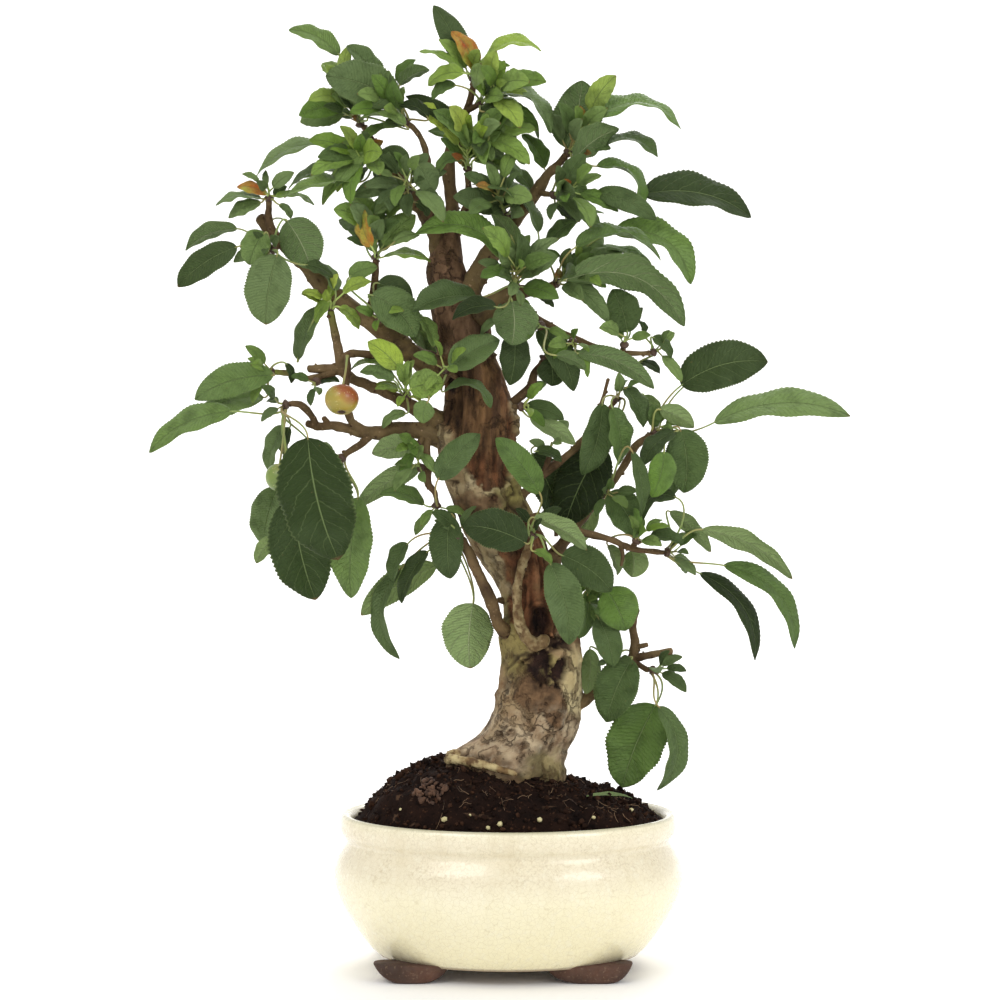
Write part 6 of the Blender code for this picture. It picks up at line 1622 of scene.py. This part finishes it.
# %% Leaves with their stalks
PETIOLE_STEPS = 14


def add_tube(heap, line, radii, sides, seed, bumps, **values):
    """A swept tube with closed ends, in the stalks' material."""
    heap.put(sweep(line, radii, sides, seed, bumps), tube_faces(len(line), sides), 1, **values)


def add_leaves(heap, name, number, middle, away, crown):
    """The leaves of the table, each with its petiole."""
    sheets = blade_sheets(ROWS, len(COLUMNS))
    under = np.repeat([0.0, 1.0], ROWS * len(COLUMNS))
    thin = np.concatenate([np.linspace(0.6, 0.42, PETIOLE_STEPS), [0.3]])
    thin[0] = 1.0
    scaly = np.repeat(smooth(0.16, 0.0, np.linspace(0, 1, len(thin))), 8)
    for k, (row, shrink, base, tip, wide, roll, arch) in enumerate(found[name]):
        seed = number * 7.3 + k * 2.9
        tone, chance, red = leaf_tone(name, row, shrink, crown, seed)
        block, uv = blade(base, tip, wide, roll, arch, seed)
        heap.put(block, sheets, 0, uv, tone=tone, chance=chance, under=under, red=red)
        along = blade_frame(base, tip, roll, arch, 0.0)[1][0]
        path = stalk_line(middle, away, -1.0 + 0.7 * (k % 4), base, along, PETIOLE_STEPS)
        path = np.vstack([path, base + along * 1.2])
        add_tube(heap, path, thin, 8, seed, 0.05, tone=tone, chance=chance, red=red, bud=scaly)


print("most leaves on a spray", max(len(leaves) for leaves in found.values()))

# %% New leaves along the shoot
SHORT_STALK_RADII = np.array([0.6, 0.5, 0.42, 0.4, 0.38, 0.2])
SUNWARD = (0, 0, 0.25)


def add_new_leaves(heap, name, number, spray_tone, middle, away, crown):
    """The shoot and the small leaves along it, set round it by the usual 2.4 radians each."""
    draw = np.random.default_rng(100 + number).uniform
    sheets = blade_sheets(BUD_ROWS, len(BUD_COLUMNS))
    under = np.repeat([0.0, 1.0], BUD_ROWS * len(BUD_COLUMNS))
    wanted = 4 if name == "spray_apex" else (3, 5, 8)[spray_tone] + (13 if crown else 0)
    reach = 13.0 if crown and name != "spray_apex" else 4.0
    shoot = middle + (away + SUNWARD) * np.linspace(-1.0, reach, 7)[:, None]
    add_tube(heap, shoot, np.linspace(1.0, 0.35, 7), 8, number + 0.5, 0.1, tone=0.6, chance=0.5, bud=0.25)
    spin = draw(0, 2 * np.pi)
    across = unit(np.cross(away, (0.1, 1.0, 0.2)))
    upward = np.cross(across, away)
    for k in range(wanted):
        out = across * math.cos(spin + 2.4 * k) + upward * math.sin(spin + 2.4 * k)
        heading = unit(away + out * draw(0.35, 2.4) + SUNWARD)
        long = draw(8, 25 if crown else 15)
        node = shoot[0] + (shoot[-1] - shoot[0]) * (k + 0.7) / wanted
        base = node + heading * draw(3.0, 9.0 if crown else 6.0)
        tip = base + heading * long + (0, 0, -0.12 * long)
        low, high = np.minimum(base, tip), np.maximum(base, tip)
        if (low <= BOX_LOW + 1.5).any() or (high >= BOX_HIGH - 1.5).any():
            continue
        seed = number * 3.7 + k * 1.3
        level = (0.32, 0.46, 0.7)[spray_tone] + (0.08 if crown else 0) + 0.24 * math.sin(seed * 5)
        level = min(max(level, 0), 1)
        flushed = 0.8 if crown and long < 12 and k % 7 == 0 else 0.0
        wide, roll = long * draw(0.38, 0.54), draw(0.1, 0.9)
        block, uv = blade(base, tip, wide, roll, 0.06 * long, seed, BUD_ROWS, BUD_COLUMNS)
        chance = 0.5 + 0.5 * math.sin(seed * 9)
        heap.put(block, sheets, 0, uv, tone=level, chance=chance, under=under, red=flushed)
        path = np.linspace(node, base + heading * 0.8, len(SHORT_STALK_RADII))
        add_tube(heap, path, SHORT_STALK_RADII, 6, seed, 0.05, tone=level, chance=0.5)


print("faces of a new leaf", sum(len(sheet) for sheet in blade_sheets(BUD_ROWS, len(BUD_COLUMNS))))

# %% Sprays
CROWN_FROM = 335
CROWN_HALF = 75
BUD_RADII = np.array([1.3, 1.55, 2.0, 2.3, 2.4, 2.3, 2.0, 1.3, 0.2])


def make_spray(name, spray_tone, root, start, number):
    """All leaves of one spray as a single mesh, with their petioles and the bud they grow from."""
    origin = seen(*np.array(start, float))
    away = unit(origin - seen(*np.array(root, float)))
    crown = origin[2] > CROWN_FROM and abs(origin[0]) < CROWN_HALF
    near = origin + away * 0.3
    middle = near + away * 1.7
    heap = Heap("tone", "chance", "under", "red", "bud")
    line = near + away * np.linspace(0, 3.6, len(BUD_RADII))[:, None]
    add_tube(heap, line, BUD_RADII, 14, number, 0.3, chance=0.5, bud=1.0)
    add_leaves(heap, name, number, middle, away, crown)
    add_new_leaves(heap, name, number, spray_tone, middle, away, crown)
    slot = ("leaf_dark", "leaf_mid", "leaf_young")[spray_tone]
    return heap.piece(f"{name}_fine", [LEAF, PETIOLE], slot, [name])


for number, (name, spray_tone, root, start, _) in enumerate(SPRAYS):
    make_spray(name, spray_tone, root, start, number)

# %% [markdown]
# One narrow dry leaf has fallen on the front slope, pale underside up. It is a blade of the same
# make, laid between two places of the mound.

# %% Dry leaf scrap on the soil
def make_scrap():
    """A narrow dry leaf that lies on the front slope, with its pale underside up."""
    base = on_soil(43.5, 84.2) + (0, -0.9, 1.7)
    tip = on_soil(68, 86.2) + (0, -0.9, 1.9)
    block, uv = blade(base, tip, 3.4, math.radians(60), -0.6, 3.0)
    heap = Heap("tone", "chance", "under", "red", "bud")
    heap.put(block, blade_sheets(ROWS, len(COLUMNS)), 0, uv, tone=0.35, chance=1.0, under=1.0, red=0.12)
    return heap.piece("dry_leaf_scrap", [LEAF], "soil", ["soil"])


make_scrap()

# %% [markdown]
# The crabapples are small pomes, ribbed very slightly, with a dip at the stalk and the dried calyx
# at the other end. One is ripe: yellow with a red cheek where the sun reached it. The other is
# still green. They hang on thin stalks from their twigs.

# %% Fruit skin
def fruit_material(name, light, dark, cheek, amount):
    """Waxy skin with two tones, a mottled cheek, pale dots and a brown calyx."""
    material, tree, shader = new_material(name, 0.3)
    base = blend(tree, patches(tree, 7, 3, 0.35, 0.65), light, dark)
    blush = attribute(tree, "blush")
    mottled = plus(tree, blush, times(tree, noise(tree, 3, 4), 0.5))
    base = blend(tree, times(tree, ramp(tree, mottled, 0.55, 1.0), amount), base, cheek)
    base = wash(tree, base, "#E3D79A", ramp(tree, cells(tree, 1.5, 0.6, "F1"), 0.16, 0.06))
    base = wash(tree, base, "#4A3322", attribute(tree, "calyx"))
    paint(tree, shader, base, None,
          {"Subsurface Weight": 0.12, "Subsurface Scale": 0.002, "Coat Weight": 0.08})
    raise_by(tree, shader, noise(tree, 1.6, 3), 0.12, 0.5)
    return material


RIPE = fruit_material("ripe_crabapple_skin", "#A98F3A", "#8E8838", "#8C3A22", 0.85)
GREEN = fruit_material("green_crabapple_skin", "#7F9248", "#6C8239", "#97883F", 0.4)
print("fruit skins", RIPE.name, GREEN.name)

# %% Fruit shapes
FRUIT_ROWS = 44
FRUIT_COLUMNS = 64
FRUIT_TILT = math.radians(24)
SEPALS = 5


def fruit_body(radius, ratio):
    """Profile with a dip at both ends and five faint ribs, with masks for the red cheek and the calyx."""
    theta = np.linspace(0.02, np.pi - 0.02, FRUIT_ROWS)[:, None]
    phi = circle(FRUIT_COLUMNS)[None]
    dip = 0.30 * np.exp(-(theta / 0.36) ** 2) + 0.16 * np.exp(-((np.pi - theta) / 0.3) ** 2)
    ribs = 1 + 0.012 * np.cos(5 * phi + 1.0) * np.sin(theta)
    r = radius * 0.985 * np.sin(theta) * ribs
    z = radius * 0.985 * ratio * np.cos(theta) * (1 - dip) + 0 * phi
    v = np.stack([r * np.cos(phi), r * np.sin(phi), z], -1)
    blush = np.clip(unit(v) @ unit(np.array([0.55, -0.55, 0.5])), -1, 1).reshape(-1)
    calyx = smooth(0.32, 0.2, (np.pi - theta) + 0 * phi).reshape(-1)
    return v.reshape(-1, 3), blush, calyx


def make_fruit(number, name, centre, radius, ratio, stalk_top, skin, slot):
    """A turned body, tilted, on a swept stalk, with the dry calyx's five points at its lower end."""
    middle = seen(*np.array(centre, float))
    c, s = math.cos(FRUIT_TILT), math.sin(FRUIT_TILT)
    v, blush, calyx = fruit_body(radius, ratio)
    v = np.stack([v[:, 0], v[:, 1] * c + v[:, 2] * s, v[:, 2] * c - v[:, 1] * s], -1) + middle
    heap = Heap("blush", "calyx", "bud", "tone")
    sheets = [sheet[:, ::-1] for sheet in tube_faces(FRUIT_ROWS, FRUIT_COLUMNS)]
    heap.put(v, sheets, blush=blush, calyx=calyx, tone=0.3)
    low = middle + (0, 0, radius * ratio * 0.6)
    top = seen(*np.array(stalk_top, float))
    line = spline([low, (low + top) / 2 + (0.4, -0.6, 0), top], 24)
    radii = np.interp(np.linspace(0, 1, 24), [0, 0.1, 0.9, 1], [0.75, 0.55, 0.55, 0.95])
    add_tube(heap, line, radii, 10, 3, 0.06, calyx=1.0, tone=0.3)
    pole, level = np.array([0, -s, -c]), np.array([0, -c, s])
    for k in range(SEPALS):
        a = 2 * np.pi * k / SEPALS + number
        out = np.array([1.0, 0, 0]) * math.cos(a) + level * math.sin(a)
        line = middle + pole * radius * ratio * 0.80 + pole * np.array([[-0.5], [0.5], [1.0]])
        line = line + out * np.array([[0.4], [0.9], [1.7]])
        add_tube(heap, line, np.array([0.5, 0.42, 0.12]), 6, k, 0.1, calyx=1.0, bud=1.0, tone=0.3)
    return heap.piece(f"{name}_fine", [skin, PETIOLE], slot, [name])


for number, (fruit, skin, slot) in enumerate(zip(FRUITS, (RIPE, GREEN), ("ripe_fruit", "green_fruit"))):
    make_fruit(number, *fruit, skin, slot)

# %% [markdown]
# The tree stands on a plain pale floor in a white room. A large soft light above and to the left
# gives the shape, a weaker one fills from the right, and the white surroundings keep the shadows
# open. The camera is a long lens in front, a little above the tree's middle, as in the photo.

# %% Floor
ROOM = 6000.0
BEND_FROM = 900
BEND_RADIUS = 1500
BEND_STEPS = 24


def make_floor():
    """A floor that sweeps up behind the tree in a wide curve, so that no edge shows."""
    material, tree, shader = new_material("pale_floor", 0.8)
    base = blend(tree, patches(tree, 300, 3, 0.3, 0.7), "#FAF9F7", "#FDFCFB")
    paint(tree, shader, base, None, {"Specular IOR Level": 0.1})
    bend = np.linspace(0, np.pi / 2, BEND_STEPS)
    depth = np.concatenate([[-ROOM], BEND_FROM + BEND_RADIUS * np.sin(bend), [BEND_FROM + BEND_RADIUS]])
    height = np.concatenate([[0.0], BEND_RADIUS * (1 - np.cos(bend)), [ROOM]])
    rows = len(depth)
    sheet = np.stack([np.broadcast_to([-ROOM, ROOM], (rows, 2)), np.repeat(depth[:, None], 2, 1),
                      np.repeat(height[:, None], 2, 1)], -1).reshape(-1, 3) * MM
    mesh = bpy.data.meshes.new("floor")
    mesh.from_pydata(sheet.tolist(), [], grid_faces(rows, 2)[:, ::-1].tolist())
    mesh.polygons.foreach_set("use_smooth", [True] * len(mesh.polygons))
    mesh.materials.append(material)
    floor = bpy.data.objects.new("floor", mesh)
    bpy.context.scene.collection.objects.link(floor)
    return floor


print("floor faces", len(make_floor().data.polygons))

# %% Lights
def soft_light(name, place_m, target_m, size_m, watts, tint=(1.0, 1.0, 1.0)):
    """A round soft light at a place, turned towards its target."""
    lamp = bpy.data.lights.new(name, "AREA")
    lamp.shape = "DISK"
    lamp.size = size_m
    lamp.energy = watts
    lamp.color = tint
    holder = bpy.data.objects.new(name, lamp)
    holder.location = place_m
    aim = np.array(target_m) - np.array(place_m)
    tip = math.acos(-aim[2] / np.linalg.norm(aim))
    holder.rotation_euler = (tip, 0, math.atan2(aim[1], aim[0]) - math.pi / 2)
    bpy.context.scene.collection.objects.link(holder)


soft_light("key", (-0.9, -1.3, 1.5), (0, 0, 0.25), 1.1, 9.5, (1.0, 0.985, 0.96))
soft_light("fill", (1.2, -1.2, 0.9), (0, 0, 0.22), 0.9, 7, (0.97, 0.985, 1.0))
soft_light("back", (0.4, 1.3, 1.3), (0, 0, 0.28), 1.0, 8)
soft_light("backdrop", (0, 0.9, 2.2), (0, 2.4, 0.9), 1.4, 26)
world = bpy.data.worlds.new("white_room")
world.use_nodes = True
white = world.node_tree.nodes["Background"].inputs
white["Color"].default_value = (1, 1, 1, 1)
white["Strength"].default_value = 0.84
bpy.context.scene.world = world
bpy.context.scene.view_settings.view_transform = "Standard"
print("lights", len(bpy.data.lights))

# %% Camera
LENS_MM = 108.1
AIM_HEIGHT = 0.23475
lens = bpy.data.cameras.new("photo_view")
lens.sensor_width = 36
lens.lens = LENS_MM
camera = bpy.data.objects.new("photo_view", lens)
eye_away, eye_up = EYE_DISTANCE * MM, EYE_HEIGHT * MM
camera.location = (0, -eye_away, eye_up)
camera.rotation_euler = (math.pi / 2 - math.atan2(eye_up - AIM_HEIGHT, eye_away), 0, 0)
bpy.context.scene.collection.objects.link(camera)
bpy.context.scene.camera = camera
print("camera at", tuple(camera.location))
